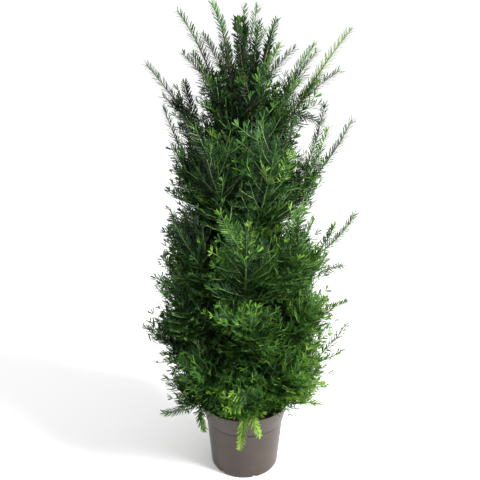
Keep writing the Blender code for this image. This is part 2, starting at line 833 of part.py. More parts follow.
clear_scene()
build_pot()
build_compost()
build_trunk()
trunk_cutter = build_trunk_cutter()
bark = make_material("bough_bark", BARK_BROWN, 0.85)
greens = {tier: make_material(f"{tier}_needles", colour, 0.55) for tier, colour in NEEDLE_GREENS.items()}
all_limbs = tier_limbs() + leader_limbs()
all_spaces = Spaces(all_limbs)
for one_limb in all_limbs:
    if one_limb.bough:
        build_bough(one_limb, trunk_cutter, bark)
    build_mass(one_limb, all_spaces, trunk_cutter, greens[one_limb.tier])
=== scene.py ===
"""The looks of a young English yew in its nursery pot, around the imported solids. Metres, +Z up."""

import math
import random

import bpy
import numpy as np
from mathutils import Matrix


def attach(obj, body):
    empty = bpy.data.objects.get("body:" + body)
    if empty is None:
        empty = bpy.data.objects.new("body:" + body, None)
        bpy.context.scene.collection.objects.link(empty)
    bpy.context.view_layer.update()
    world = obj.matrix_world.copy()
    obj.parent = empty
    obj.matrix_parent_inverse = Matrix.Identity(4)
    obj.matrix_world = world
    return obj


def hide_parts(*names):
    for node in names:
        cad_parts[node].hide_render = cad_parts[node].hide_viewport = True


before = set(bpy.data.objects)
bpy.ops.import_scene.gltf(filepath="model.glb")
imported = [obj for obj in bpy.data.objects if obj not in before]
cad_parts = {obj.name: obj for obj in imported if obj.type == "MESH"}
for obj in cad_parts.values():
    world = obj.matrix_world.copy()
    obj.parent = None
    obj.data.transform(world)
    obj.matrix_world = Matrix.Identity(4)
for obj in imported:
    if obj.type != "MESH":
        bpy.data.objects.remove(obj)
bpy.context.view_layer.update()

# Pot: a 7.5 litre nursery pot moulded in thin taupe plastic, with a stout collar that steps in to a
# body that tapers to the ground. Six notches in its bottom corner let the water out. It stands on
# its flat underside and everything else stands in it.
POT_SIDES = 128
POT_UNDERSIDE = 0.089
# Radius and height of each corner, up the outside and then down the inside
POT_OUTSIDE = (
    (0.0923, 0.0055),
    (0.0935, 0.018),
    (0.1050, 0.145),
    (0.1080, 0.148),
    (0.1188, 0.197),
    (0.1200, 0.1982),
    (0.1196, 0.200),
)
POT_INSIDE = (
    (0.1176, 0.200),
    (0.1056, 0.149),
    (0.1026, 0.144),
    (0.0866, 0.003),
)
POT_EDGE = 0.0005
# Degrees past which a corner is rounded, and past which it isn't shaded as smooth
POT_CORNER = 32
POT_CREASE = 30
NOTCH_COUNT = 6
NOTCH_FIRST = -72.0
NOTCH_SIZE = (0.024, 0.015, 0.016)
NOTCH_EDGE = 0.003
POT_DARK = (0.041, 0.031, 0.026)
POT_LIGHT = (0.049, 0.037, 0.031)
POT_SCUFFED = (0.062, 0.049, 0.042)
POT_SPLASHED = (0.028, 0.022, 0.018)
POT_PAINTED_SHADE = (0.012, 0.009, 0.008)
SPLASH_TOP = 0.030
# Painted shade under the collar: it comes in between the first two heights and ends between the others
PAINTED_SHADE_FROM = (0.1385, 0.1435)
PAINTED_SHADE_TO = (0.1476, 0.1484)


def deselect():
    bpy.ops.object.select_all(action="DESELECT")


def apply_modifiers(obj):
    deselect()
    obj.select_set(True)
    bpy.context.view_layer.objects.active = obj
    for modifier in list(obj.modifiers):
        bpy.ops.object.modifier_apply(modifier=modifier.name)


def turn_up(profile, radius, height):
    """Extrudes the selected ring or disc from one radius and height to the next."""
    for next_radius, next_height in profile:
        bpy.ops.mesh.extrude_region_move(
            TRANSFORM_OT_translate={"value": (0, 0, next_height - height)}
        )
        share = next_radius / radius
        bpy.ops.transform.resize(value=(share, share, 1))
        radius, height = next_radius, next_height


def smooth_by_angle(obj, degrees):
    deselect()
    obj.select_set(True)
    bpy.context.view_layer.objects.active = obj
    bpy.ops.object.shade_smooth_by_angle(angle=math.radians(degrees))


deselect()
bpy.ops.mesh.primitive_circle_add(vertices=POT_SIDES, radius=POT_UNDERSIDE, fill_type="NGON")
pot = bpy.context.object
pot.name = "pot_shell"
bpy.ops.object.mode_set(mode="EDIT")
bpy.ops.mesh.select_all(action="SELECT")
turn_up(POT_OUTSIDE + POT_INSIDE, POT_UNDERSIDE, 0.0)
bpy.ops.mesh.select_all(action="SELECT")
bpy.ops.mesh.normals_make_consistent(inside=False)
bpy.ops.object.mode_set(mode="OBJECT")
edges = pot.modifiers.new("edges", "BEVEL")
edges.width = POT_EDGE
edges.segments = 2
edges.limit_method = "ANGLE"
edges.angle_limit = math.radians(POT_CORNER)
apply_modifiers(pot)
for notch in range(NOTCH_COUNT):
    turn = math.radians(NOTCH_FIRST + notch * 360 / NOTCH_COUNT)
    place = (POT_UNDERSIDE * math.cos(turn), POT_UNDERSIDE * math.sin(turn), 0)
    deselect()
    bpy.ops.mesh.primitive_cube_add(size=1, location=place, rotation=(0, 0, turn), scale=NOTCH_SIZE)
    cutter = bpy.context.object
    bevel = cutter.modifiers.new("bevel", "BEVEL")
    bevel.width = NOTCH_EDGE
    bevel.segments = 3
    apply_modifiers(cutter)
    cut = pot.modifiers.new("cut", "BOOLEAN")
    cut.operation = "DIFFERENCE"
    cut.object = cutter
    apply_modifiers(pot)
    bpy.data.objects.remove(cutter, do_unlink=True)
smooth_by_angle(pot, POT_CREASE)


def make_mottle():
    """Shader group: uneven patches at a given size, from 0 to 1, shared by all the finishes."""
    group = bpy.data.node_groups.new("mottle", "ShaderNodeTree")
    group.interface.new_socket("Scale", in_out="INPUT", socket_type="NodeSocketFloat")
    group.interface.new_socket("Stretch", in_out="INPUT", socket_type="NodeSocketVector")
    group.interface.new_socket("Low", in_out="INPUT", socket_type="NodeSocketFloat")
    group.interface.new_socket("High", in_out="INPUT", socket_type="NodeSocketFloat")
    group.interface.new_socket("Mask", in_out="OUTPUT", socket_type="NodeSocketFloat")
    given = group.nodes.new("NodeGroupInput")
    given_back = group.nodes.new("NodeGroupOutput")
    place = group.nodes.new("ShaderNodeTexCoord")
    stretched = group.nodes.new("ShaderNodeVectorMath")
    stretched.operation = "MULTIPLY"
    noise = group.nodes.new("ShaderNodeTexNoise")
    noise.inputs["Detail"].default_value = 4.0
    spread = group.nodes.new("ShaderNodeMapRange")
    link = group.links.new
    link(place.outputs["Object"], stretched.inputs[0])
    link(given.outputs["Stretch"], stretched.inputs[1])
    link(stretched.outputs["Vector"], noise.inputs["Vector"])
    link(given.outputs["Scale"], noise.inputs["Scale"])
    link(noise.outputs["Fac"], spread.inputs["Value"])
    link(given.outputs["Low"], spread.inputs["From Min"])
    link(given.outputs["High"], spread.inputs["From Max"])
    link(spread.outputs["Result"], given_back.inputs["Mask"])
    return group


mottle_group = make_mottle()


def add_mottle(material, scale, low=0.35, high=0.65, stretch=(1, 1, 1)):
    """Places the mottle group in a material and returns its mask."""
    node = material.node_tree.nodes.new("ShaderNodeGroup")
    node.node_tree = mottle_group
    node.inputs["Scale"].default_value = scale
    node.inputs["Stretch"].default_value = stretch
    node.inputs["Low"].default_value = low
    node.inputs["High"].default_value = high
    return node.outputs["Mask"]


def add_mix(material, mask, first, second):
    """Mixes two colours, or the output of an earlier mix and a colour, by a mask."""
    node = material.node_tree.nodes.new("ShaderNodeMix")
    node.data_type = "RGBA"
    material.node_tree.links.new(mask, node.inputs["Factor"])
    for socket, colour in (("A", first), ("B", second)):
        wanted = next(one for one in node.inputs if one.name == socket and one.type == "RGBA")
        if isinstance(colour, bpy.types.NodeSocket):
            material.node_tree.links.new(colour, wanted)
        else:
            wanted.default_value = (*colour, 1.0)
    return next(one for one in node.outputs if one.type == "RGBA")


def add_range(material, value, low, high, to_low=0.0, to_high=1.0):
    """Stretches a value so that low to high becomes to_low to to_high, and no further."""
    node = material.node_tree.nodes.new("ShaderNodeMapRange")
    node.inputs["From Min"].default_value = low
    node.inputs["From Max"].default_value = high
    node.inputs["To Min"].default_value = to_low
    node.inputs["To Max"].default_value = to_high
    material.node_tree.links.new(value, node.inputs["Value"])
    return node.outputs["Result"]


def add_product(material, first, second):
    node = material.node_tree.nodes.new("ShaderNodeMath")
    node.operation = "MULTIPLY"
    material.node_tree.links.new(first, node.inputs[0])
    material.node_tree.links.new(second, node.inputs[1])
    return node.outputs["Value"]


def add_height(material):
    """The height above the ground of each point of the piece."""
    place = material.node_tree.nodes.new("ShaderNodeTexCoord")
    parts = material.node_tree.nodes.new("ShaderNodeSeparateXYZ")
    material.node_tree.links.new(place.outputs["Object"], parts.inputs["Vector"])
    return parts.outputs["Z"]


def add_bump(material, height, strength, distance):
    node = material.node_tree.nodes.new("ShaderNodeBump")
    node.inputs["Strength"].default_value = strength
    node.inputs["Distance"].default_value = distance
    material.node_tree.links.new(height, node.inputs["Height"])
    shader = material.node_tree.nodes["Principled BSDF"]
    material.node_tree.links.new(node.outputs["Normal"], shader.inputs["Normal"])


def finish(material, socket, value):
    """Sets a socket of the material's shader to a number, a colour or a node's output."""
    shader = material.node_tree.nodes["Principled BSDF"]
    if isinstance(value, bpy.types.NodeSocket):
        material.node_tree.links.new(value, shader.inputs[socket])
    elif isinstance(value, tuple):
        shader.inputs[socket].default_value = (*value, 1.0)
    else:
        shader.inputs[socket].default_value = value


def new_material(name, colour, roughness):
    """A Principled material with a plain colour, for its nodes to vary."""
    material = bpy.data.materials.new(name)
    material.use_nodes = True
    finish(material, "Base Color", colour)
    finish(material, "Roughness", roughness)
    return material


taupe = new_material("pot_taupe_plastic", POT_LIGHT, 0.48)
pot_height = add_height(taupe)
patches = add_mottle(taupe, scale=14.0)
scuffs = add_mottle(taupe, scale=60.0, low=0.62, high=0.76)
splashes = add_mottle(taupe, scale=45.0, low=0.42, high=0.70)
low_down = add_range(taupe, pot_height, low=0.0, high=SPLASH_TOP, to_low=1.0, to_high=0.0)
# Painted shade: a dark band on the body just under the collar's step, set by height
collar_painted_shade = add_product(
    taupe,
    add_range(taupe, pot_height, low=PAINTED_SHADE_FROM[0], high=PAINTED_SHADE_FROM[1]),
    add_range(taupe, pot_height, low=PAINTED_SHADE_TO[0], high=PAINTED_SHADE_TO[1], to_low=1.0, to_high=0.0),
)
taupe_colour = add_mix(taupe, patches, POT_DARK, POT_LIGHT)
taupe_colour = add_mix(taupe, add_product(taupe, scuffs, patches), taupe_colour, POT_SCUFFED)
taupe_colour = add_mix(taupe, add_product(taupe, low_down, splashes), taupe_colour, POT_SPLASHED)
taupe_colour = add_mix(taupe, collar_painted_shade, taupe_colour, POT_PAINTED_SHADE)
finish(taupe, "Base Color", taupe_colour)
finish(taupe, "Roughness", add_range(taupe, scuffs, low=0.0, high=1.0, to_low=0.40, to_high=0.56))
finish(taupe, "Specular IOR Level", 0.22)
add_bump(taupe, add_mottle(taupe, scale=900.0, low=0.2, high=0.8), strength=0.12, distance=0.0004)
pot.data.materials.append(taupe)
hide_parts("pot")
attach(pot, "root")

# Compost: black-brown peat and bark that fills the pot to two centimetres below its rim. It has
# settled unevenly, and crumbs of bark and pale grit lie on it.
COMPOST_SIDES = 96
COMPOST_BOTTOM = 0.0033
COMPOST_TOP = 0.180
COMPOST_FOOT = 0.0863
COMPOST_RIM = 0.1123
# Radius and height of each corner up its side
COMPOST_SIDE = ((0.1023, 0.1440), (0.1053, 0.1490), (COMPOST_RIM, COMPOST_TOP))
COMPOST_RINGS = 26
# Width and height of the clods, and of the fine lumps on them
COMPOST_LUMPS = ((0.030, 0.006), (0.007, 0.004))
# The share of a lump's height that lies below the compost's level
COMPOST_LEVEL = 0.75
COMPOST_SURFACE = 0.001
COMPOST_CREASE = 60
PEAT_DARK = (0.0075, 0.0052, 0.0040)
PEAT_BROWN = (0.030, 0.019, 0.012)
PEAT_FIBRE = (0.070, 0.042, 0.024)

deselect()
bpy.ops.mesh.primitive_circle_add(
    vertices=COMPOST_SIDES, radius=COMPOST_FOOT, fill_type="NGON", location=(0, 0, COMPOST_BOTTOM)
)
compost = bpy.context.object
compost.name = "compost_fill"
bpy.ops.object.mode_set(mode="EDIT")
bpy.ops.mesh.select_all(action="SELECT")
turn_up(COMPOST_SIDE, COMPOST_FOOT, COMPOST_BOTTOM)
for _ in range(COMPOST_RINGS):
    bpy.ops.mesh.inset(thickness=COMPOST_RIM / (COMPOST_RINGS + 1), depth=0)
bpy.ops.mesh.select_all(action="SELECT")
bpy.ops.mesh.normals_make_consistent(inside=False)
bpy.ops.object.mode_set(mode="OBJECT")
bpy.ops.object.transform_apply(location=True, rotation=True, scale=True)
surface = compost.vertex_groups.new(name="surface")
surface_from = COMPOST_TOP - COMPOST_SURFACE
surface.add([v.index for v in compost.data.vertices if v.co.z > surface_from], 1.0, "REPLACE")
for lump_width, lump_height in COMPOST_LUMPS:
    clods = bpy.data.textures.new("clods", "CLOUDS")
    clods.noise_scale = lump_width
    uneven = compost.modifiers.new("uneven", "DISPLACE")
    uneven.texture = clods
    uneven.texture_coords = "LOCAL"
    uneven.direction = "Z"
    uneven.mid_level = COMPOST_LEVEL
    uneven.strength = lump_height
    uneven.vertex_group = "surface"
apply_modifiers(compost)
smooth_by_angle(compost, COMPOST_CREASE)

peat = new_material("peat_compost", PEAT_BROWN, 0.96)
peat_colour = add_mix(peat, add_mottle(peat, scale=160.0), PEAT_DARK, PEAT_BROWN)
fibres = add_mottle(peat, scale=420.0, low=0.60, high=0.75)
finish(peat, "Base Color", add_mix(peat, fibres, peat_colour, PEAT_FIBRE))
add_bump(peat, add_mottle(peat, scale=700.0, low=0.3, high=0.7), strength=0.8, distance=0.002)
compost.data.materials.append(peat)
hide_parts("compost")
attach(compost, "root")


def joined_mesh(name, points, faces_by_size, finishes, kinds_by_size, smooth=True):
    """One mesh from arrays. Faces of each corner count come as one array, with their finishes' numbers."""
    mesh = bpy.data.meshes.new(name)
    mesh.vertices.add(len(points))
    mesh.vertices.foreach_set("co", np.asarray(points, np.float32).ravel())
    corners = np.concatenate([faces.ravel() for faces in faces_by_size])
    counts = np.concatenate([np.full(len(faces), faces.shape[1]) for faces in faces_by_size])
    mesh.loops.add(len(corners))
    mesh.loops.foreach_set("vertex_index", corners.astype(np.int32))
    mesh.polygons.add(len(counts))
    starts = np.concatenate([[0], np.cumsum(counts)[:-1]])
    mesh.polygons.foreach_set("loop_start", starts.astype(np.int32))
    for one in finishes:
        mesh.materials.append(one)
    mesh.polygons.foreach_set("material_index", np.concatenate(kinds_by_size).astype(np.int32))
    mesh.update(calc_edges=True)
    mesh.polygons.foreach_set("use_smooth", np.full(len(counts), smooth))
    obj = bpy.data.objects.new(name, mesh)
    bpy.context.scene.collection.objects.link(obj)
    return obj


def unit(vectors):
    return vectors / np.maximum(np.linalg.norm(vectors, axis=-1, keepdims=True), 1e-9)


CRUMB_COUNT = 1500
CRUMB_SEED = 21
# A crumb is two pyramids, foot to foot
CRUMB_SHAPE = np.array([(1, 0, 0), (-1, 0, 0), (0, 1, 0), (0, -1, 0), (0, 0, 1), (0, 0, -1)], float)
CRUMB_UPPER = ((0, 2, 4), (2, 1, 4), (1, 3, 4), (3, 0, 4))
CRUMB_LOWER = ((2, 0, 5), (1, 2, 5), (3, 1, 5), (0, 3, 5))
CRUMB_FACES = np.array(CRUMB_UPPER + CRUMB_LOWER)
CRUMB_SIZES = (0.0008, 0.0030)
# How far a crumb is stretched along each axis, and how far its corners are out of place
CRUMB_STRETCH = (0.4, 1.3)
CRUMB_UNEVEN = 0.15
# Bare width at the pot's wall, the share of the compost that the trunk covers, and how deep crumbs lie
CRUMB_MARGIN = 0.004
CRUMB_CLEAR = 0.025
CRUMB_SINK = 0.0022
BARK_SHARE = 0.82
CHIP_DARK = (0.012, 0.008, 0.006)
CHIP_BROWN = (0.055, 0.032, 0.019)
GRIT_DARK = (0.10, 0.078, 0.058)
GRIT_PALE = (0.24, 0.20, 0.16)

crumb_draws = np.random.default_rng(CRUMB_SEED)
crumb_away = (COMPOST_RIM - CRUMB_MARGIN) * np.sqrt(crumb_draws.uniform(CRUMB_CLEAR, 1, CRUMB_COUNT))
crumb_turn = crumb_draws.uniform(0, math.tau, CRUMB_COUNT)
crumb_places = np.stack(
    [
        crumb_away * np.cos(crumb_turn),
        crumb_away * np.sin(crumb_turn),
        np.full(CRUMB_COUNT, COMPOST_TOP - CRUMB_SINK),
    ],
    axis=1,
)
crumb_sizes = crumb_draws.uniform(*CRUMB_SIZES, (CRUMB_COUNT, 1, 1))
crumb_sizes = crumb_sizes * crumb_draws.uniform(*CRUMB_STRETCH, (CRUMB_COUNT, 1, 3))
crumb_shapes = CRUMB_SHAPE[None] * crumb_sizes
crumb_shapes += crumb_draws.normal(0, CRUMB_UNEVEN, crumb_shapes.shape) * crumb_sizes
crumb_spin = crumb_draws.uniform(0, math.tau, CRUMB_COUNT)
cosine = np.cos(crumb_spin)[:, None]
sine = np.sin(crumb_spin)[:, None]
crumb_points = np.stack(
    [
        crumb_shapes[..., 0] * cosine - crumb_shapes[..., 1] * sine,
        crumb_shapes[..., 0] * sine + crumb_shapes[..., 1] * cosine,
        crumb_shapes[..., 2],
    ],
    axis=2,
)
crumb_points += crumb_places[:, None]
crumb_first = len(CRUMB_SHAPE) * np.arange(CRUMB_COUNT)[:, None, None]
crumb_faces = (CRUMB_FACES[None] + crumb_first).reshape(-1, 3)
crumb_kinds = np.repeat((crumb_draws.uniform(size=CRUMB_COUNT) > BARK_SHARE).astype(int), len(CRUMB_FACES))
bark_chip = new_material("bark_chip", CHIP_BROWN, 0.92)
chip_tone = add_mottle(bark_chip, scale=300.0)
finish(bark_chip, "Base Color", add_mix(bark_chip, chip_tone, CHIP_DARK, CHIP_BROWN))
grit = new_material("pale_grit", GRIT_PALE, 0.8)
grit_tone = add_mottle(grit, scale=350.0)
finish(grit, "Base Color", add_mix(grit, grit_tone, GRIT_DARK, GRIT_PALE))
crumb_points = crumb_points.reshape(-1, 3)
crumbs = joined_mesh(
    "compost_crumbs", crumb_points, [crumb_faces], [bark_chip, grit], [crumb_kinds], smooth=False
)
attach(crumbs, "root")

# Trunk: one straight leader with a slight sway and a root flare, as thick as a thumb at the compost.
# Its thin bark is red-brown and flakes in small plates. It runs up through the foliage whole.
TRUNK_FOOT = 0.1795
TRUNK_TIP = 1.030
TRUNK_FOOT_RADIUS = 0.0125
TRUNK_TIP_RADIUS = 0.0030
TRUNK_FLARE = 0.0060
TRUNK_FLARE_HEIGHT = 0.022
TRUNK_SWAY = 0.004
TRUNK_SWAY_LENGTH = 0.46
# How much slower the trunk sways from front to back than from side to side
TRUNK_SWAY_SLOWER = 0.8
TRUNK_RINGS = 90
# Width of the bark's slow swells, and the share of its relief that lies inside the limb's own radius
BARK_SWELL = 0.02
BARK_LEVEL = 0.4
BARK_DARK = (0.060, 0.030, 0.019)
BARK_RED = (0.165, 0.080, 0.045)
BARK_FLAKE = (0.24, 0.17, 0.12)
BARK_ALGAE = (0.075, 0.080, 0.040)


def trunk_centre(height):
    turn = math.tau * (height - TRUNK_FOOT) / TRUNK_SWAY_LENGTH
    sideways = TRUNK_SWAY * math.sin(turn)
    backwards = TRUNK_SWAY * (math.cos(turn * TRUNK_SWAY_SLOWER) - 1)
    return np.array([sideways, backwards, height])


def trunk_radius(height):
    taper = (height - TRUNK_FOOT) / (TRUNK_TIP - TRUNK_FOOT)
    radius = TRUNK_FOOT_RADIUS + (TRUNK_TIP_RADIUS - TRUNK_FOOT_RADIUS) * taper
    return radius + TRUNK_FLARE * math.exp(-(height - TRUNK_FOOT) / TRUNK_FLARE_HEIGHT)


def barked(name, lines, roundness, fineness, plate_size, plate_height):
    """A mesh of tapering limbs with the bark's relief, from (points, radii) of each limb's middle."""
    curve = bpy.data.curves.new(name, "CURVE")
    curve.dimensions = "3D"
    curve.bevel_depth = 1.0
    curve.bevel_resolution = roundness
    curve.use_fill_caps = True
    curve.resolution_u = 1
    for points, radii in lines:
        spline = curve.splines.new("POLY")
        spline.points.add(len(points) - 1)
        for knot, point, radius in zip(spline.points, points, radii):
            knot.co = (*point, 1.0)
            knot.radius = radius
    obj = bpy.data.objects.new(name, curve)
    bpy.context.scene.collection.objects.link(obj)
    deselect()
    obj.select_set(True)
    bpy.context.view_layer.objects.active = obj
    bpy.ops.object.convert(target="MESH")
    obj = bpy.context.object
    finer = obj.modifiers.new("finer", "SUBSURF")
    finer.levels = fineness
    finer.render_levels = fineness
    for texture_type, width in (("VORONOI", plate_size), ("CLOUDS", BARK_SWELL)):
        plates = bpy.data.textures.new("plates", texture_type)
        plates.noise_scale = width
        relief = obj.modifiers.new("relief", "DISPLACE")
        relief.texture = plates
        relief.texture_coords = "LOCAL"
        relief.mid_level = BARK_LEVEL
        relief.strength = plate_height
    apply_modifiers(obj)
    bpy.ops.object.shade_smooth()
    return obj


flaking_bark = new_material("flaking_bark", BARK_RED, 0.85)
bark_tone = add_mottle(flaking_bark, scale=70.0, stretch=(1, 1, 0.3))
bark_flakes = add_mottle(flaking_bark, scale=190.0, low=0.58, high=0.70, stretch=(1, 1, 0.4))
bark_algae = add_mottle(flaking_bark, scale=22.0, low=0.55, high=0.75)
bark_relief = add_mottle(flaking_bark, scale=260.0, low=0.3, high=0.7, stretch=(1, 1, 0.35))
bark_colour = add_mix(flaking_bark, bark_tone, BARK_DARK, BARK_RED)
bark_colour = add_mix(flaking_bark, bark_flakes, bark_colour, BARK_FLAKE)
bark_colour = add_mix(flaking_bark, bark_algae, bark_colour, BARK_ALGAE)
finish(flaking_bark, "Base Color", bark_colour)
add_bump(flaking_bark, bark_relief, strength=0.7, distance=0.0012)
trunk_heights = np.linspace(TRUNK_FOOT, TRUNK_TIP, TRUNK_RINGS)
trunk_line = [trunk_centre(height) for height in trunk_heights]
trunk_radii = [trunk_radius(height) for height in trunk_heights]
trunk_lines = [(trunk_line, trunk_radii)]
trunk = barked("trunk_bark", trunk_lines, roundness=6, fineness=2, plate_size=0.008, plate_height=0.0011)
trunk.data.materials.append(flaking_bark)
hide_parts("trunk")
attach(trunk, "root")

# Boughs: the main limbs that leave the trunk in the three lower tiers. Each is one tapering curve that
# goes on as the stem of its mass of foliage. The upper tiers' stems come straight from the trunk.
LIMB_SEED = 5
LIMB_TIP_RADIUS = 0.0013
# A limb is at its thinnest a little before its end
LIMB_TAPER = 1.15
# The shares of its span over which a limb keeps the way it leaves, and the way it ends
LIMB_LEAVES = 0.38
LIMB_ENDS = 0.34
# A bough swells where it joins the trunk, down to its own thickness at a half of its length
COLLAR_SWELL = 1.2
COLLAR_FADE = 2
BOUGH_POINTS = 16
ROOT_STAGGER = 0.007
TIER_UNEVEN = 0.035
AZIMUTH_UNEVEN = 5.0
# Azimuths and angles are in degrees. The bough is the bare share of a limb.
TIER_LIMBS = {
    "skirt": dict(count=5, first=-90, root=0.226, tip=0.285, reach=0.205),
    "low": dict(count=6, first=-60, root=0.262, tip=0.400, reach=0.252),
    "middle": dict(count=6, first=-90, root=0.345, tip=0.560, reach=0.236),
    "upper": dict(count=7, first=-90, root=0.450, tip=0.735, reach=0.204),
    "shoulder": dict(count=6, first=-64, root=0.610, tip=0.930, reach=0.182),
}
LIMB_SHAPES = {
    "skirt": dict(leave=20, end=12, bough=0.28, radius=0.0045),
    "low": dict(leave=22, end=44, bough=0.30, radius=0.0050),
    "middle": dict(leave=30, end=56, bough=0.30, radius=0.0050),
    "upper": dict(leave=40, end=64, bough=0.0, radius=0.0044),
    "shoulder": dict(leave=52, end=68, bough=0.0, radius=0.0040),
    "leader": dict(leave=62, end=52, bough=0.0, radius=0.0034),
}
# Limbs that stand out of their tier, as reach and tip
LONG_LIMBS = {
    "skirt_2": (0.206, 0.212),
    "skirt_5": (0.230, 0.204),
    "low_2": (0.262, 0.345),
    "low_5": (0.268, 0.409),
    "upper_3": (0.297, 0.702),
    "shoulder_2": (0.250, 0.963),
}
LEADERS = {
    "leader_left": dict(root=0.850, azimuth=-161, reach=0.158, tip=1.205),
    "leader_back_left": dict(root=0.905, azimuth=140, reach=0.104, tip=1.221),
    "leader_front": dict(root=0.800, azimuth=-78, reach=0.132, tip=1.180),
    "leader_back_right": dict(root=0.880, azimuth=57, reach=0.140, tip=1.182),
    "leader_far_right": dict(root=0.770, azimuth=5, reach=0.244, tip=1.165),
    "leader_right": dict(root=0.825, azimuth=-28, reach=0.168, tip=1.134),
    "leader_far_left": dict(root=0.740, azimuth=-178, reach=0.228, tip=1.088),
    "leader_back": dict(root=0.790, azimuth=98, reach=0.150, tip=1.130),
    "leader_front_left": dict(root=0.815, azimuth=-135, reach=0.160, tip=1.117),
}
LEADER_CENTRE_TIP = (-0.004, 0.000, 1.212)
UP = np.array([0.0, 0.0, 1.0])


class Limb:
    """One tapering curve that leaves the trunk, as a bare bough and then the stem of a mass."""

    def __init__(self, name, tier, corners, bough, radius, outward):
        self.name = name
        self.tier = tier
        self.corners = corners
        self.bough = bough
        self.radius = radius
        self.outward = outward

    def at(self, share):
        root, second, third, tip = self.corners
        rest = 1 - share
        return root * rest**3 + second * 3 * rest**2 * share + third * 3 * rest * share**2 + tip * share**3

    def along(self, share):
        root, second, third, tip = self.corners
        rest = 1 - share
        return unit(
            (second - root) * rest**2 + (third - second) * 2 * rest * share + (tip - third) * share**2
        )

    def thickness(self, share):
        return self.radius + (LIMB_TIP_RADIUS - self.radius) * min(1.0, share * LIMB_TAPER)


def bent_limb(name, tier, root, azimuth, reach, tip):
    """A limb from the trunk at the root's height to a tip at a reach from the axis and a height."""
    shape = LIMB_SHAPES[tier]
    turn = math.radians(azimuth)
    outward = np.array([math.cos(turn), math.sin(turn), 0.0])
    start = trunk_centre(root)
    end = outward * reach + UP * tip
    span = np.linalg.norm(end - start)
    leave = math.radians(shape["leave"])
    arrive = math.radians(shape["end"])
    leaving = outward * math.cos(leave) + UP * math.sin(leave)
    ending = outward * math.cos(arrive) + UP * math.sin(arrive)
    corners = (start, start + leaving * span * LIMB_LEAVES, end - ending * span * LIMB_ENDS, end)
    return Limb(name, tier, corners, shape["bough"], shape["radius"], outward)


def grow_limbs():
    """Every limb: the five tiers from the ground up, the trunk's own leader, and the other leaders."""
    draws = random.Random(LIMB_SEED)
    limbs = []
    for tier, sizes in TIER_LIMBS.items():
        for index in range(sizes["count"]):
            name = f"{tier}_{index + 1}"
            azimuth = sizes["first"] + index * 360 / sizes["count"] + draws.uniform(-1, 1) * AZIMUTH_UNEVEN
            uneven = 1 + draws.uniform(-1, 1) * TIER_UNEVEN
            reach, tip = LONG_LIMBS.get(name, (sizes["reach"] * uneven, sizes["tip"] * uneven))
            root = sizes["root"] + ROOT_STAGGER * (2 * index % sizes["count"])
            limbs.append(bent_limb(name, tier, root, azimuth, reach, tip))
    start = trunk_centre(TRUNK_TIP)
    end = np.array(LEADER_CENTRE_TIP)
    rise = (end - start) / 3
    corners = (start, start + rise, end - rise, end)
    outward = np.array([1.0, 0.0, 0.0])
    limbs.append(Limb("leader_centre", "leader", corners, 0.0, TRUNK_TIP_RADIUS, outward))
    for name, sizes in LEADERS.items():
        limbs.append(bent_limb(name, "leader", **sizes))
    return limbs


limbs = grow_limbs()
bough_lines = []
for limb in limbs:
    if limb.bough:
        shares = np.linspace(0, limb.bough, BOUGH_POINTS)
        swells = 1 + (COLLAR_SWELL - 1) * np.clip(1 - shares / limb.bough * COLLAR_FADE, 0, 1)
        radii = [limb.thickness(share) * swell for share, swell in zip(shares, swells)]
        bough_lines.append(([limb.at(share) for share in shares], radii))
boughs = barked("bough_bark", bough_lines, roundness=3, fineness=1, plate_size=0.006, plate_height=0.0006)
boughs.data.materials.append(flaking_bark)
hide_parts(*[limb.name.replace("_", "_bough_") for limb in limbs if limb.bough])
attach(boughs, "root")

# Twigs: the stem of each mass goes on from its bough, with shoots set round it by the golden angle,
# and side shoots on those, left and right. Young ones are green, and stems and long single shoots are
# brown. A shoot that leaves its mass's space or the crown, or nears the pot, is cut shorter or left out.
CROWN_HEIGHTS = (0.13, 0.20, 0.25, 0.31, 0.40, 0.50, 0.60, 0.70, 0.85, 1.00, 1.08, 1.16, 1.215, 1.23)
CROWN_RADII = (0.13, 0.16, 0.205, 0.238, 0.252, 0.238, 0.222, 0.198, 0.192, 0.188, 0.188, 0.172, 0.115, 0)
# The crown is a little shallower from front to back
CROWN_FLATNESS = 1.05
# Over these heights its outside draws in, for all shoots but those of the leaders
TOP_HEIGHTS = (0.99, 1.11)
TOP_DRAWN_IN = 0.14
# It is a little fuller on its left low down, and barer on its right above the height where that turns
SIDE_HEIGHTS = (0.20, 0.25, 0.33, 0.42, 0.50, 0.80, 0.90)
SIDE_CHANGES = (0.0, -0.010, -0.010, 0.0, 0.018, 0.018, 0.0)
SIDE_TURNS = 0.42
SIDE_REACH = 0.15
# Where two waves cross on the crown's outside they leave hollows. A wave is the number of times it
# goes round, its turn with height, and its start.
HOLLOW_WAVES = ((4, 11, 1.3), (2, -23, 0.0))
HOLLOW_DEPTH = 0.052
# How far a leader's shoots may stand off its stem, by height
PLUME_HEIGHTS = (1.00, 1.09)
PLUME_ROOM = (0.060, 0.014)
# How much nearer than its own stem another mass's stem may be to a shoot
SHARED_SPACE = 0.022
STEM_FROM = 0.06
STEM_POINTS = 17
POT_RIM_RADIUS = 0.120
POT_RIM_HEIGHT = 0.200
POT_ROOM = 0.012
LOWEST = 0.193
# Shoots end unevenly at the crown's outside, most of them near its limit
NEEDLE_ROOM = 0.010
ROOM_UNEVEN = (-0.018, 0.034)
ROOM_BIAS = 1.6
SHORTER = 0.85
SHOOT_STEPS = 6
# Above this height needles stand all round a shoot
BRUSH_FROM = 0.98
# The share of a stem where its leafy end starts, and how much darker that end is
STEM_END_FROM = 0.50
STEM_END_FRESH = -0.4
# Below this level length a direction counts as upright
UPRIGHT = 0.05


def across(direction):
    """The two directions at right angles to one direction: the level one, and the one that faces up."""
    level = np.cross(direction, UP)
    if np.linalg.norm(level) < UPRIGHT:
        level = np.array([0.0, 1.0, 0.0])
    level = unit(level)
    return level, unit(np.cross(level, direction))


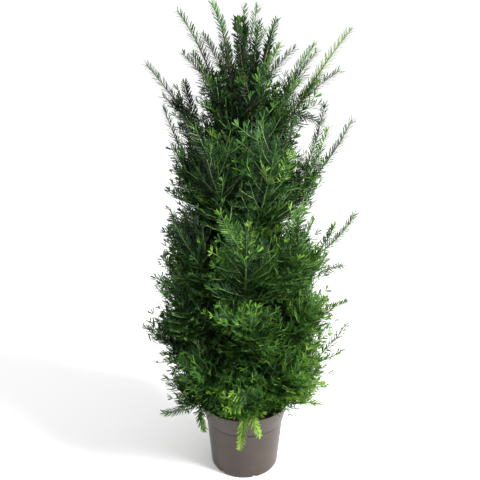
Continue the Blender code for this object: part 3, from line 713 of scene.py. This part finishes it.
class Shoot:
    """A leafy shoot: its line, the way its upper side faces, its thickness and its kind of needles."""

    def __init__(self, root, leaving, ending, length, upper, radius, order, limb):
        self.root = root
        self.leaving = leaving
        self.ending = ending
        self.upper = upper
        self.radius = radius
        self.order = order
        self.limb = limb
        self.fresh = 0.0
        self.brush = root[2] > BRUSH_FROM
        self.single = False
        self.resize(length)

    def resize(self, length):
        self.length = length
        self.line = self.at(np.linspace(0, 1, SHOOT_STEPS + 1)[:, None])

    def at(self, share):
        straight = self.leaving * (share - share * share / 2)
        return self.root + self.length * (straight + self.ending * share * share / 2)

    def along(self, share):
        return unit(self.leaving * (1 - share) + self.ending * share)


class StemEnd(Shoot):
    """The leafy end of a stem, which goes along the limb's own curve."""

    def __init__(self, limb):
        self.limb = limb
        self.upper = across(limb.along(1.0))[1]
        self.radius = LIMB_TIP_RADIUS
        self.order = 0
        self.fresh = STEM_END_FRESH
        self.brush = True
        self.single = True
        self.line = np.array([limb.at(share) for share in np.linspace(STEM_END_FROM, 1, SHOOT_STEPS + 1)])
        self.length = float(np.linalg.norm(np.diff(self.line, axis=0), axis=1).sum())

    def at(self, share):
        return self.limb.at(STEM_END_FROM + (1 - STEM_END_FROM) * share)

    def along(self, share):
        return self.limb.along(STEM_END_FROM + (1 - STEM_END_FROM) * share)


def stem_line(limb):
    shares = np.linspace(max(STEM_FROM, limb.bough), 1, STEM_POINTS)
    return [limb.at(share) for share in shares]


stem_lines = np.array([stem_line(limb) for limb in limbs])
limb_numbers = {limb.name: number for number, limb in enumerate(limbs)}


def hollow(points):
    """How deep the crown's hollows are at some points."""
    x, y, z = points.T
    azimuth = np.arctan2(y, x)
    first, second = (np.sin(times * azimuth + turn * z + start) for times, turn, start in HOLLOW_WAVES)
    return HOLLOW_DEPTH * np.clip(first * second, 0, 1)


def crown_room(points, tier):
    """How far from the axis the crown reaches at the height and side of some points."""
    height = points[:, 2]
    reach = np.interp(height, CROWN_HEIGHTS, CROWN_RADII) - hollow(points)
    if tier != "leader":
        reach -= np.interp(height, TOP_HEIGHTS, (0.0, TOP_DRAWN_IN))
    sideways = np.clip(points[:, 0] / SIDE_REACH, -1, 1)
    changed_side = np.sign(sideways) == np.where(height > SIDE_TURNS, 1, -1)
    return reach - np.interp(height, SIDE_HEIGHTS, SIDE_CHANGES) * np.abs(sideways) * changed_side


def fits(line, limb, room):
    """Whether a shoot keeps inside the crown, off the pot and in its own mass's space."""
    points = line[2:]
    height = points[:, 2]
    if (np.hypot(points[:, 0], points[:, 1] * CROWN_FLATNESS) > crown_room(points, limb.tier) - room).any():
        return False
    over_pot = np.hypot(points[:, 0], points[:, 1]) < POT_RIM_RADIUS + POT_ROOM
    if ((height < POT_RIM_HEIGHT + POT_ROOM) & over_pot).any():
        return False
    if (height < LOWEST).any():
        return False
    away = np.linalg.norm(points[:, None, None] - stem_lines[None], axis=3).min(axis=2)
    own = away[:, limb_numbers[limb.name]]
    if limb.tier == "leader" and (own > np.interp(height, PLUME_HEIGHTS, PLUME_ROOM)).any():
        return False
    return bool((own < away.min(axis=1) + SHARED_SPACE).all())


def fitted(shoot, least, draws):
    """The shoot, cut shorter until it fits, or None once it is shorter than the least."""
    least_room, most_room = ROOM_UNEVEN
    room = NEEDLE_ROOM + least_room + (most_room - least_room) * draws.random() ** ROOM_BIAS
    while shoot.length > least:
        if fits(shoot.line, shoot.limb, room):
            return shoot
        shoot.resize(shoot.length * SHORTER)
    return None


GOLDEN_ANGLE = math.radians(137.508)
SHOOT_RADIUS = 0.0013
SHOOT_LEAST = 0.03
SIDE_RADIUS = 0.0012
SIDE_LEAST = 0.016
SIDE_SPACING = 0.026
# The share of their parent's length that sets the number of side shoots, where the first stands, and
# the stretch that holds them all
SIDE_SHARE = 0.86
SIDE_FIRST = 0.10
SIDE_STRETCH = 0.60
# Side shoots thin out over these heights, so that the top is single long shoots
BARE_TOP = (0.92, 1.04)
BARE_SHARES = (0.0, 0.9)
# Degrees between a side shoot and its parent, how far it lifts, and how far it bends forward and up
SIDE_OPENING = (38, 56)
SIDE_LIFT = (-0.1, 0.35)
SIDE_FORWARD = 0.5
SIDE_UP = 0.15
# A side shoot's length at its parent's foot, how much shorter it is at the tip, and its variation
SIDE_LONGEST = 1.12
SIDE_SHORTENS = 0.45
SIDE_VARIES = (0.75, 1.2)
# Where within its own step along a stem a shoot may stand
STEP_VARIES = (0.2, 0.8)
# How steeply shoots end, by height: flat at the skirt, upright in the top
RISE_HEIGHTS = (0.20, 0.35, 0.60, 0.85, 1.10)
RISE_DEGREES = (4, 30, 55, 70, 78)
RISE_VARIES = 14
# Shoots on a stem, the stretch of it that carries them, their longest, and their side shoots' length
GROWTH = {
    "skirt": dict(shoots=58, stretch=0.90, longest=0.150, side=0.062),
    "low": dict(shoots=62, stretch=0.90, longest=0.155, side=0.068),
    "middle": dict(shoots=56, stretch=0.90, longest=0.155, side=0.074),
    "upper": dict(shoots=50, stretch=0.90, longest=0.155, side=0.080),
    "shoulder": dict(shoots=46, stretch=0.90, longest=0.150, side=0.082),
    "leader": dict(shoots=15, stretch=0.60, longest=0.110, side=0.050),
}
# A mass starts at this share of a stem, or of its bough, and the first shoot stands a little further on
MASS_FROM = 0.12
MASS_FROM_BOUGH = 0.6
FIRST_SHOOT = 0.05
TURN_VARIES = 0.25
SHOOT_OPENING = (42, 60)
SHOOT_UP = 0.2
SHOOT_VARIES = (0.65, 1.0)
# How much of the way it leaves is left in the way that a shoot ends
SHOOT_KEEPS = 0.45
# What a shoot's outward direction is made of: away from the axis, the way it leaves, and its limb's
OUTWARD_PARTS = (2, 0.35, 0.05)
# A shoot's upper side faces outwards and up, and a little away from its stem
UPPER_OUTWARD = 0.6
UPPER_UP = 0.7
UPPER_VARIES = (-0.2, 0.5)
# Shoots on a leader run along with it, as a plume that narrows to the tip
PLUME_SPREAD = 0.45
PLUME_TAPER = 0.50
STEM_END_SIDE = 0.8


def risen(point, outward, draws):
    """The direction that a shoot bends to: outwards and up, steeper towards the top."""
    degrees = np.interp(point[2], RISE_HEIGHTS, RISE_DEGREES) + draws.uniform(-RISE_VARIES, RISE_VARIES)
    rise = math.radians(degrees)
    return outward * math.cos(rise) + UP * math.sin(rise)


def grow_side_shoots(parent, length, spacing, draws):
    """Shoots to the left and right of a shoot, each a little ahead of the one before."""
    grown = []
    count = int(parent.length * SIDE_SHARE / spacing)
    for index in range(count):
        share = SIDE_FIRST + SIDE_STRETCH * (index + draws.uniform(*STEP_VARIES)) / count
        if draws.random() < np.interp(parent.at(share)[2], BARE_TOP, BARE_SHARES):
            continue
        direction = parent.along(share)
        side = unit(np.cross(direction, parent.upper)) * (1 if index % 2 else -1)
        opening = math.radians(draws.uniform(*SIDE_OPENING))
        leaving = direction * math.cos(opening) + side * math.sin(opening)
        leaving = unit(leaving + parent.upper * draws.uniform(*SIDE_LIFT))
        ending = unit(leaving + direction * SIDE_FORWARD + UP * SIDE_UP)
        long = length * (SIDE_LONGEST - SIDE_SHORTENS * share) * draws.uniform(*SIDE_VARIES)
        root = parent.at(share)
        order = parent.order + 1
        shoot = Shoot(root, leaving, ending, long, parent.upper, SIDE_RADIUS, order, parent.limb)
        shoot.fresh = parent.fresh
        if fitted(shoot, SIDE_LEAST, draws):
            grown.append(shoot)
    return grown


def grow_mass(limb):
    """The shoots of one mass: its stem's end, the shoots round the stem, and their side shoots."""
    draws = random.Random(limb.name)
    growth = GROWTH[limb.tier]
    from_axis, from_leaving, from_limb = OUTWARD_PARTS
    start = limb.bough * MASS_FROM_BOUGH or MASS_FROM
    turn = draws.uniform(0, math.tau)
    grown = []
    for index in range(growth["shoots"]):
        place = (index + draws.uniform(*STEP_VARIES)) / growth["shoots"]
        share = start + (1 - start) * (FIRST_SHOOT + growth["stretch"] * place)
        turn += GOLDEN_ANGLE + draws.uniform(-TURN_VARIES, TURN_VARIES)
        direction = limb.along(share)
        level, upward = across(direction)
        aside = level * math.cos(turn) + upward * math.sin(turn)
        opening = math.radians(draws.uniform(*SHOOT_OPENING))
        leaving = unit(direction * math.cos(opening) + aside * math.sin(opening) + UP * SHOOT_UP)
        root = limb.at(share)
        outward = root * (1, 1, 0) * from_axis + leaving * (1, 1, 0) * from_leaving
        outward = unit(outward + limb.outward * from_limb)
        length = growth["longest"] * draws.uniform(*SHOOT_VARIES)
        if limb.tier == "leader":
            ending = unit(leaving * PLUME_SPREAD + direction + UP * SHOOT_UP)
            length *= 1 - PLUME_TAPER * place
        else:
            ending = unit(leaving * SHOOT_KEEPS + risen(root, outward, draws))
        upper = unit(outward * UPPER_OUTWARD + UP * UPPER_UP - aside * draws.uniform(*UPPER_VARIES))
        shoot = Shoot(root, leaving, ending, length, upper, SHOOT_RADIUS, 1, limb)
        if fitted(shoot, SHOOT_LEAST, draws):
            grown.append(shoot)
            grown += grow_side_shoots(shoot, growth["side"], SIDE_SPACING, draws)
    tip = StemEnd(limb)
    grown.append(tip)
    grown += grow_side_shoots(tip, growth["side"] * STEM_END_SIDE, SIDE_SPACING, draws)
    return grown


# Shoots straight from the trunk fill the crown's middle. They stand closer low down.
TRUNK_SHOOT_SEED = 17
TRUNK_SHOOTS = 290
TRUNK_SHOOT_SPAN = (0.222, 1.00)
TRUNK_SHOOTS_LOWER = 1.3
TRUNK_TURN_VARIES = 0.3
TRUNK_SHOOT_UP = (0.3, 0.9)
TRUNK_SHOOT_KEEPS = 0.7
TRUNK_SHOOT_LENGTHS = (0.09, 0.15)
TRUNK_SIDE_LENGTH = 0.050


def grow_trunk_shoots():
    """Shoots round the trunk, each counted with the mass that its tip is nearest to."""
    draws = random.Random(TRUNK_SHOOT_SEED)
    lowest, highest = TRUNK_SHOOT_SPAN
    turn = 0.0
    grown = []
    for index in range(TRUNK_SHOOTS):
        place = ((index + 0.5) / TRUNK_SHOOTS) ** TRUNK_SHOOTS_LOWER
        height = lowest + (highest - lowest) * place
        turn += GOLDEN_ANGLE + draws.uniform(-TRUNK_TURN_VARIES, TRUNK_TURN_VARIES)
        outward = np.array([math.cos(turn), math.sin(turn), 0.0])
        root = trunk_centre(height)
        leaving = unit(outward + UP * draws.uniform(*TRUNK_SHOOT_UP))
        ending = unit(leaving * TRUNK_SHOOT_KEEPS + risen(root, outward, draws))
        length = draws.uniform(*TRUNK_SHOOT_LENGTHS)
        tip = root + length * unit(leaving + ending)
        away = np.linalg.norm(tip - stem_lines, axis=2).min(axis=1)
        limb = limbs[int(away.argmin())]
        upper = unit(UP * UPPER_UP + outward * UPPER_OUTWARD)
        shoot = Shoot(root, leaving, ending, length, upper, SHOOT_RADIUS, 1, limb)
        if fitted(shoot, SHOOT_LEAST, draws):
            grown.append(shoot)
            grown += grow_side_shoots(shoot, TRUNK_SIDE_LENGTH, SIDE_SPACING, draws)
    return grown


# Long single shoots between the leaders and out of the crown's sides: the limb that carries each, the
# share of the limb where it leaves, and its tip
TOP_SHOOTS = (
    ("leader_centre", 0.05, (0.026, -0.020, 1.214)),
    ("leader_centre", 0.02, (-0.022, -0.075, 1.186)),
    ("leader_front", 0.45, (0.071, -0.120, 1.137)),
    ("leader_back_right", 0.40, (0.117, 0.080, 1.117)),
    ("leader_right", 0.62, (0.158, -0.055, 1.118)),
    ("leader_left", 0.42, (-0.135, -0.090, 1.114)),
    ("leader_far_left", 0.50, (-0.147, 0.060, 1.040)),
    ("leader_front_left", 0.35, (0.050, -0.125, 1.030)),
    ("leader_centre", 0.02, (0.045, -0.020, 1.163)),
    ("leader_front", 0.25, (-0.055, -0.030, 1.100)),
    ("leader_front", 0.35, (0.020, -0.090, 1.120)),
    ("leader_left", 0.30, (-0.150, -0.085, 0.950)),
    ("leader_back_left", 0.30, (-0.100, 0.060, 1.150)),
    ("leader_back_right", 0.30, (0.060, 0.110, 1.135)),
    ("leader_back", 0.35, (-0.045, 0.105, 1.125)),
    ("leader_right", 0.35, (0.120, -0.100, 1.060)),
    ("leader_front_left", 0.55, (-0.085, -0.125, 1.070)),
    ("leader_far_right", 0.45, (0.175, 0.020, 1.060)),
    ("leader_far_right", 0.55, (0.215, -0.020, 1.075)),
    ("leader_far_left", 0.62, (-0.190, -0.020, 1.015)),
    ("leader_right", 0.45, (0.165, -0.085, 0.966)),
    ("leader_back_left", 0.40, (-0.060, 0.130, 1.120)),
    ("leader_back", 0.45, (0.030, 0.165, 1.060)),
    ("leader_back", 0.50, (0.000, 0.120, 1.165)),
    ("shoulder_3", 0.70, (0.060, 0.175, 0.985)),
    ("shoulder_5", 0.50, (-0.194, -0.010, 0.992)),
    ("shoulder_5", 0.42, (-0.160, 0.040, 1.012)),
    ("shoulder_6", 0.52, (-0.140, -0.118, 0.990)),
    ("shoulder_1", 0.55, (0.112, -0.130, 0.985)),
    ("shoulder_2", 0.40, (0.188, 0.000, 0.998)),
    ("shoulder_2", 0.46, (0.190, -0.060, 0.950)),
    ("shoulder_4", 0.50, (-0.080, 0.160, 1.000)),
    ("middle_2", 0.60, (0.262, -0.020, 0.493)),
    ("middle_3", 0.72, (0.254, 0.030, 0.577)),
    ("low_2", 0.60, (0.263, -0.030, 0.439)),
    ("upper_3", 0.55, (0.215, -0.050, 0.713)),
)
# New growth that hangs over the pot's rim
HANGING_SHOOTS = (
    ("skirt_1", 0.52, (-0.012, -0.134, 0.142)),
    ("skirt_5", 0.50, (-0.106, -0.086, 0.156)),
    ("skirt_1", 0.48, (0.034, -0.134, 0.176)),
    ("skirt_2", 0.42, (0.122, -0.040, 0.214)),
    ("skirt_5", 0.44, (-0.124, -0.030, 0.212)),
)
LONG_SHOOT_SEED = 31
LONG_SIDE_LENGTH = 0.034
# How far a long shoot first follows its limb, the spacing of its side shoots, and how new its green is
TOP_HABIT = dict(bend=0.5, spacing=0.045, fresh=-0.5)
HANGING_HABIT = dict(bend=0.9, spacing=0.022, fresh=0.8)


def grow_to(name, share, tip, draws, bend, spacing, fresh):
    """One long shoot from a limb to a given tip, with its side shoots."""
    limb = limbs[limb_numbers[name]]
    root = limb.at(share)
    straight = np.array(tip) - root
    leaving = unit(unit(straight) + limb.along(share) * bend)
    ending = unit(unit(straight) * 2 - leaving)
    shoot = Shoot(root, leaving, ending, 1.0, across(unit(straight))[1], SHOOT_RADIUS, 1, limb)
    shoot.resize(float(np.linalg.norm(straight) / np.linalg.norm(shoot.at(1.0) - root)))
    shoot.fresh = fresh
    shoot.brush = True
    shoot.single = True
    return [shoot] + grow_side_shoots(shoot, LONG_SIDE_LENGTH, spacing, draws)


shoots = grow_trunk_shoots()
for limb in limbs:
    shoots += grow_mass(limb)
long_draws = random.Random(LONG_SHOOT_SEED)
for name, share, tip in TOP_SHOOTS:
    shoots += grow_to(name, share, tip, long_draws, **TOP_HABIT)
for name, share, tip in HANGING_SHOOTS:
    shoots += grow_to(name, share, tip, long_draws, **HANGING_HABIT)


# An odd direction, so that hardly any shoot runs along it. A tube's rings are turned from it.
ASKEW = (0.31, 0.17, 0.94)


def tube_arrays(line, radii, sides, first):
    """Points and faces of a thin closed tube along a line, its first point numbered first."""
    along = unit(np.gradient(line, axis=0))
    level = unit(np.cross(along, ASKEW))
    upward = np.cross(level, along)
    angles = np.arange(sides) * math.tau / sides
    ring = np.cos(angles)[None, :, None] * level[:, None] + np.sin(angles)[None, :, None] * upward[:, None]
    points = (line[:, None] + ring * np.asarray(radii)[:, None, None]).reshape(-1, 3)
    points = np.vstack([points, line[:1], line[-1:] + along[-1:] * radii[-1]])
    low = np.arange(len(line) - 1)[:, None] * sides + np.arange(sides)[None]
    after = np.arange(len(line) - 1)[:, None] * sides + (np.arange(sides)[None] + 1) % sides
    quads = np.stack([low, low + sides, after + sides, after], axis=2).reshape(-1, 4)
    foot = len(points) - 2
    end = len(points) - 1
    side = np.arange(sides)
    later = (side + 1) % sides
    top = (len(line) - 1) * sides
    ends = np.vstack(
        [
            np.stack([np.full(sides, foot), side, later], axis=1),
            np.stack([np.full(sides, end), top + later, top + side], axis=1),
        ]
    )
    return points, quads + first, ends + first


YOUNG_DARK = (0.050, 0.105, 0.018)
YOUNG_LIGHT = (0.110, 0.215, 0.034)
OLD_DARK = (0.058, 0.036, 0.020)
OLD_LIGHT = (0.135, 0.085, 0.042)
# Shares of a stem past which its wood is green
GREEN_FROM = 0.45
LEADER_GREEN_FROM = 0.85
# A stem goes on from this far inside the tip of its bough
STEM_OVERLAP = 0.01
TWIG_POINTS = 16
STEM_SIDES = 6
SHOOT_SIDES = 3
SHOOT_TAPER = 0.65

young_wood = new_material("green_twig", YOUNG_LIGHT, 0.6)
young_tone = add_mottle(young_wood, scale=45.0)
finish(young_wood, "Base Color", add_mix(young_wood, young_tone, YOUNG_DARK, YOUNG_LIGHT))
old_wood = new_material("brown_twig", OLD_LIGHT, 0.75)
old_tone = add_mottle(old_wood, scale=60.0)
finish(old_wood, "Base Color", add_mix(old_wood, old_tone, OLD_DARK, OLD_LIGHT))
add_bump(old_wood, add_mottle(old_wood, scale=500.0), strength=0.4, distance=0.0005)


def twig_tubes(tier):
    """Each stem and shoot of a tier: its line, its radii, its sides, and each step's wood, 1 if brown."""
    tubes = []
    green_from = LEADER_GREEN_FROM if tier == "leader" else GREEN_FROM
    for limb in limbs:
        if limb.tier == tier:
            shares = np.linspace(max(0.0, limb.bough - STEM_OVERLAP), 1, TWIG_POINTS)
            line = np.array([limb.at(share) for share in shares])
            radii = [limb.thickness(share) for share in shares]
            tubes.append((line, radii, STEM_SIDES, (shares[1:] < green_from).astype(int)))
    for shoot in shoots:
        if shoot.limb.tier == tier and shoot.order > 0:
            line = shoot.line[::3] if shoot.order > 1 else shoot.line[::2]
            radii = shoot.radius * np.linspace(1.0, SHOOT_TAPER, len(line))
            tubes.append((line, radii, SHOOT_SIDES, np.full(len(line) - 1, int(shoot.single))))
    return tubes


def twig_piece(tier):
    """All the stems and shoots of one tier as one mesh."""
    points, quads, ends, quad_kinds, end_kinds = [], [], [], [], []
    first = 0
    for line, radii, sides, woods in twig_tubes(tier):
        tube_points, tube_quads, tube_ends = tube_arrays(line, radii, sides, first)
        first += len(tube_points)
        points.append(tube_points)
        quads.append(tube_quads)
        ends.append(tube_ends)
        quad_kinds.append(np.repeat(woods, sides))
        end_kinds.append(np.repeat(woods[[0, -1]], sides))
    faces = [np.vstack(quads), np.vstack(ends)]
    kinds = [np.concatenate(quad_kinds), np.concatenate(end_kinds)]
    return joined_mesh(f"{tier}_twigs", np.vstack(points), faces, [young_wood, old_wood], kinds)


for tier in GROWTH:
    twigs = twig_piece(tier)
    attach(twigs, "root")

# Needles: flat, narrow and folded along the midrib, two centimetres long, dark and glossy above. They
# stand in two ranks on side shoots and all round an upright one, closer and more forward to its tip.
# New growth is a light yellow green and older needles are deep green. Painted shade makes the needles
# deep in the crown near black, and painted light makes those on the right lighter.
NEEDLES_PER_METRE = 280
NEEDLE_LENGTH = 0.0230
NEEDLE_WIDTH = 0.0022
NEEDLE_FOLD = 0.22
NEEDLE_CURVE = 0.07
# A needle's own variations, as shares of its step, its length, its width and its curve
STEP_WITHIN = (0.3, 0.7)
LENGTH_VARIES = (0.90, 1.10)
WIDTH_VARIES = (0.85, 1.15)
CURVE_VARIES = (-0.4, 1.0)
# Needles are longest at a shoot's middle: the least length, the gain, and where a half wave gives it
LEAST_LENGTH = 0.74
LENGTH_GAINED = 0.30
LENGTH_WAVE = (0.08, 0.9)
# Where along a needle its two cross sections lie, and how wide it is there
FOOT_SECTION = (0.22, 0.95)
END_SECTION = (0.80, 0.90)
# How deep a needle's foot is sunk in its twig, as a share of the twig's radius
NEEDLE_FOOT = 0.5
# Needles of two ranks are lifted this far from level, and each is turned this far out of its place
RANK_LIFT = 0.35
RANK_VARIES = 0.16
ROUND_VARIES = 0.2
BASE_OPENING = 60.0
TIP_OPENING = 42.0
OPENING_VARIES = 4
# How far a needle's face turns to its shoot's tip, and how uneven that is
FACE_FORWARD = 0.4
FACE_VARIES = 0.15
# The last needles of a shoot stand close round its bud
TUFT = 7
TUFT_FROM = 0.95
TUFT_OPENING = (8, 52)
# The bare share of a shoot at its foot: that of a long shoot, past a given length, and of the others
BARE_LONG = 0.30
BARE_SHORT = 0.06
LONG_FROM = 0.09
# How much closer needles stand on an upright shoot, and on a long single one
BRUSH_CLOSER = 1.7
SINGLE_CLOSER = 3.0
# Needles on a long single shoot are shorter and wider, and lie more forward
SINGLE_LENGTH = 0.86
SINGLE_WIDTH = 1.25
SINGLE_OPENING = 0.88
# Depths inside the crown over which needles thin out, the share that is left, how much wider those
# are, and the height above which none are thinned out
SHADE_DEPTHS = (0.09, 0.17)
SHADE_SHARE = 0.60
SHADE_WIDTH = 1.9
SHADE_TOP = 1.05
NEEDLE_GREENS = {
    # The first green is near black: painted shade for needles deep in the crown and on its left
    "blue_green": (0.003, 0.013, 0.004),
    "deep_green": (0.015, 0.054, 0.010),
    "mid_green": (0.042, 0.120, 0.015),
    "fresh_green": (0.118, 0.222, 0.024),
    "new_green": (0.165, 0.290, 0.030),
}
# How the greens vary over a shoot, and how much paler a needle's underside is
GREEN_DARKER = 0.72
GREEN_LIGHTER = 1.30
UNDERSIDE_LIGHTER = 1.25
UNDERSIDE_PALER = 0.006


def make_needle_finish(name, colour):
    material = new_material(name, colour, 0.45)
    darker = tuple(part * GREEN_DARKER for part in colour)
    lighter = tuple(part * GREEN_LIGHTER for part in colour)
    underside = tuple(part * UNDERSIDE_LIGHTER + UNDERSIDE_PALER for part in colour)
    tone = add_mix(material, add_mottle(material, scale=55.0, low=0.32, high=0.68), darker, lighter)
    below = material.node_tree.nodes.new("ShaderNodeNewGeometry").outputs["Backfacing"]
    gloss = add_mottle(material, scale=120.0)
    finish(material, "Base Color", add_mix(material, below, tone, underside))
    finish(material, "Roughness", add_range(material, gloss, low=0.0, high=1.0, to_low=0.38, to_high=0.55))
    finish(material, "Specular IOR Level", 0.15)
    return material


needle_finishes = [make_needle_finish(name, colour) for name, colour in NEEDLE_GREENS.items()]
# A needle's points are its foot, three across it near the foot, two near the end, and its tip
NEEDLE_POINTS = 7
NEEDLE_FACES = np.array([(0, 3, 2), (0, 2, 1), (2, 3, 5), (1, 2, 4), (2, 5, 4), (4, 5, 6)])
# Where along a shoot its place in the crown is read
READ_AT = 0.6
# What makes a shoot's green lighter, each as where it starts, the distance over which it grows, and its
# weight
# At the outside that is new growth, and the darker green deeper in is painted shade
OUTER_DEPTH = 0.085
OUTER_WEIGHT = 1.10
LOW_HEIGHTS = (0.86, 0.60)
LOW_WEIGHT = 0.80
# To the right it is painted light from the key light, which stands on the right
PAINTED_LIGHT_WIDTH = 0.44
PAINTED_LIGHT_WEIGHT = 1.30
HIGH_HEIGHTS = (0.95, 0.20)
HIGH_WEIGHT = 0.95
AGE_OF_ALL = 0.15
AGE_VARIES = 0.62
# The end of a shoot is newer than the rest of it, and its needles vary
NEW_END = 0.72
NEW_END_WEIGHT = 0.8
NEEDLE_AGE_VARIES = 0.42


def crown_depth(point):
    return float(np.interp(point[2], CROWN_HEIGHTS, CROWN_RADII)) - math.hypot(point[0], point[1])


def newness_and_painted_light(shoot, draws):
    """A shoot's green: newer outside, low down and in the top, with painted shade deep in and painted light
    on the right.
    """
    middle = shoot.at(READ_AT)
    outer = 1 - np.clip(crown_depth(middle) / OUTER_DEPTH, 0, 1)
    low = np.clip((LOW_HEIGHTS[0] - middle[2]) / LOW_HEIGHTS[1], 0, 1)
    right = np.clip(0.5 + middle[0] / PAINTED_LIGHT_WIDTH, 0, 1)
    high = np.clip((middle[2] - HIGH_HEIGHTS[0]) / HIGH_HEIGHTS[1], 0, 1)
    newer = shoot.fresh + OUTER_WEIGHT * outer + LOW_WEIGHT * low
    newer = newer + PAINTED_LIGHT_WEIGHT * right + HIGH_WEIGHT * high
    return newer - AGE_OF_ALL + draws.gauss(0, AGE_VARIES)


def needle_arrays(shoot, draws):
    """The points of every needle on a shoot, and each needle's finish number."""
    depth = crown_depth(shoot.at(READ_AT))
    shaded = shoot.at(0.5)[2] < SHADE_TOP
    left = np.interp(depth, SHADE_DEPTHS, (1.0, SHADE_SHARE)) if shaded else 1.0
    bare = BARE_LONG if shoot.order == 1 and shoot.length > LONG_FROM else BARE_SHORT
    closer = 1.0
    wider = np.interp(depth, SHADE_DEPTHS, (1.0, SHADE_WIDTH))
    longer = 1.0
    if shoot.brush:
        closer = BRUSH_CLOSER
    if shoot.single:
        closer = SINGLE_CLOSER
        wider = SINGLE_WIDTH
        longer = SINGLE_LENGTH
    count = int(shoot.length * (1 - bare) * NEEDLES_PER_METRE * left * closer) + TUFT
    numbers = np.random.default_rng(draws.getrandbits(32))
    share = bare + (1 - bare) * (np.arange(count) + numbers.uniform(*STEP_WITHIN, count)) / count
    share[-TUFT:] = numbers.uniform(TUFT_FROM, 1.0, TUFT)
    share = np.sort(share)[:, None]
    centre = shoot.at(share)
    along = shoot.along(share)
    side = unit(np.cross(along, shoot.upper))
    upper = np.cross(side, along)
    number = np.arange(count)[:, None]
    if shoot.brush:
        rank = 1.0
        lift = GOLDEN_ANGLE * number + numbers.normal(0, ROUND_VARIES, (count, 1))
    else:
        rank = np.where(number % 2, 1.0, -1.0)
        lift = RANK_LIFT + numbers.normal(0, RANK_VARIES, (count, 1))
    lateral = side * rank * np.cos(lift) + upper * np.sin(lift)
    opening = BASE_OPENING + (TIP_OPENING - BASE_OPENING) * share
    opening = np.radians(opening + numbers.normal(0, OPENING_VARIES, (count, 1)))
    if shoot.single:
        opening = opening * SINGLE_OPENING
    opening[-TUFT:] = np.radians(numbers.uniform(*TUFT_OPENING, (TUFT, 1)))
    heading = unit(along * np.cos(opening) + lateral * np.sin(opening))
    facing = upper + along * FACE_FORWARD + numbers.normal(0, FACE_VARIES, (count, 3))
    facing = unit(facing - heading * (facing * heading).sum(axis=1, keepdims=True))
    beside = np.cross(facing, heading)
    wave = np.sin(math.pi * np.clip(share * LENGTH_WAVE[1] + LENGTH_WAVE[0], 0, 1))
    length = NEEDLE_LENGTH * (LEAST_LENGTH + LENGTH_GAINED * wave)
    length = length * numbers.uniform(*LENGTH_VARIES, (count, 1)) * longer
    width = NEEDLE_WIDTH * numbers.uniform(*WIDTH_VARIES, (count, 1)) / 2 * wider
    foot = centre + lateral * shoot.radius * NEEDLE_FOOT
    bend = facing * length * NEEDLE_CURVE * numbers.uniform(*CURVE_VARIES, (count, 1))

    def section(part, spread, fold):
        place = foot + heading * length * part + bend * part * part
        return place + beside * width * spread - facing * width * fold

    low, low_width = FOOT_SECTION
    high, high_width = END_SECTION
    points = np.stack(
        [
            foot,
            section(low, low_width, 0.0),
            section(low, 0.0, NEEDLE_FOLD),
            section(low, -low_width, 0.0),
            section(high, high_width, 0.0),
            section(high, -high_width, 0.0),
            section(1.0, 0.0, 0.0),
        ],
        axis=1,
    )
    # A needle's finish mixes its newness with painted light on the right and painted shade deep in the
    # crown
    age_and_painted_light = newness_and_painted_light(shoot, draws) + (share[:, 0] > NEW_END) * NEW_END_WEIGHT
    age_and_painted_light = age_and_painted_light + numbers.normal(0, NEEDLE_AGE_VARIES, count)
    return points, np.clip(age_and_painted_light, 0, len(needle_finishes) - 1).astype(int)


def needle_piece(tier):
    """All the needles of one tier as one mesh."""
    draws = random.Random(tier)
    parts = [needle_arrays(shoot, draws) for shoot in shoots if shoot.limb.tier == tier]
    points = np.concatenate([part[0] for part in parts])
    kinds = np.repeat(np.concatenate([part[1] for part in parts]), len(NEEDLE_FACES))
    first = NEEDLE_POINTS * np.arange(len(points))[:, None, None]
    faces = (NEEDLE_FACES[None] + first).reshape(-1, 3)
    return joined_mesh(f"{tier}_needles", points.reshape(-1, 3), [faces], needle_finishes, [kinds])


for tier in GROWTH:
    needles = needle_piece(tier)
    own = [limb.name for limb in limbs if limb.tier == tier]
    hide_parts(*[name if tier == "leader" else name.replace("_", "_foliage_") for name in own])
    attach(needles, "root")

# Studio: a plain pale floor that runs to the horizon, a white sky, and one broad soft light from the
# right, the front and above. The camera stands level with the crown's top and looks down a little.
CAMERA_PLACE = (-0.013, -1.600, 1.220)
CAMERA_PITCH = 19.4
CAMERA_LENS = 50.3
FLOOR_RADIUS = 40.0
FLOOR_SIDES = 64
FLOOR_PALE = (0.94, 0.94, 0.94)
SKY_STRENGTH = 1.06
LIGHT_PLACE = (2.3, -1.3, 2.2)
LIGHT_AIM = (0.0, 0.0, 0.65)
LIGHT_WIDTH = 1.1
LIGHT_POWER = 240

deselect()
bpy.ops.mesh.primitive_circle_add(vertices=FLOOR_SIDES, radius=FLOOR_RADIUS, fill_type="NGON")
floor = bpy.context.object
floor.name = "studio_floor"
floor.data.materials.append(new_material("pale_floor", FLOOR_PALE, 0.9))
world = bpy.data.worlds.new("studio_sky")
world.use_nodes = True
world.node_tree.nodes["Background"].inputs["Color"].default_value = (1.0, 1.0, 1.0, 1.0)
world.node_tree.nodes["Background"].inputs["Strength"].default_value = SKY_STRENGTH
bpy.context.scene.world = world
bpy.context.scene.view_settings.view_transform = "Standard"

soft_light = bpy.data.lights.new("key_light", "AREA")
soft_light.shape = "DISK"
soft_light.size = LIGHT_WIDTH
soft_light.energy = LIGHT_POWER
key_light = bpy.data.objects.new("key_light", soft_light)
key_light.location = LIGHT_PLACE
light_x, light_y, light_z = np.array(LIGHT_PLACE) - np.array(LIGHT_AIM)
light_tilt = math.atan2(math.hypot(light_x, light_y), light_z)
key_light.rotation_euler = (light_tilt, 0, math.atan2(light_x, -light_y))
bpy.context.scene.collection.objects.link(key_light)
camera = bpy.data.objects.new("camera", bpy.data.cameras.new("camera"))
camera.data.lens = CAMERA_LENS
camera.location = CAMERA_PLACE
camera.rotation_euler = (math.radians(90 - CAMERA_PITCH), 0, 0)
bpy.context.scene.collection.objects.link(camera)
bpy.context.scene.camera = camera
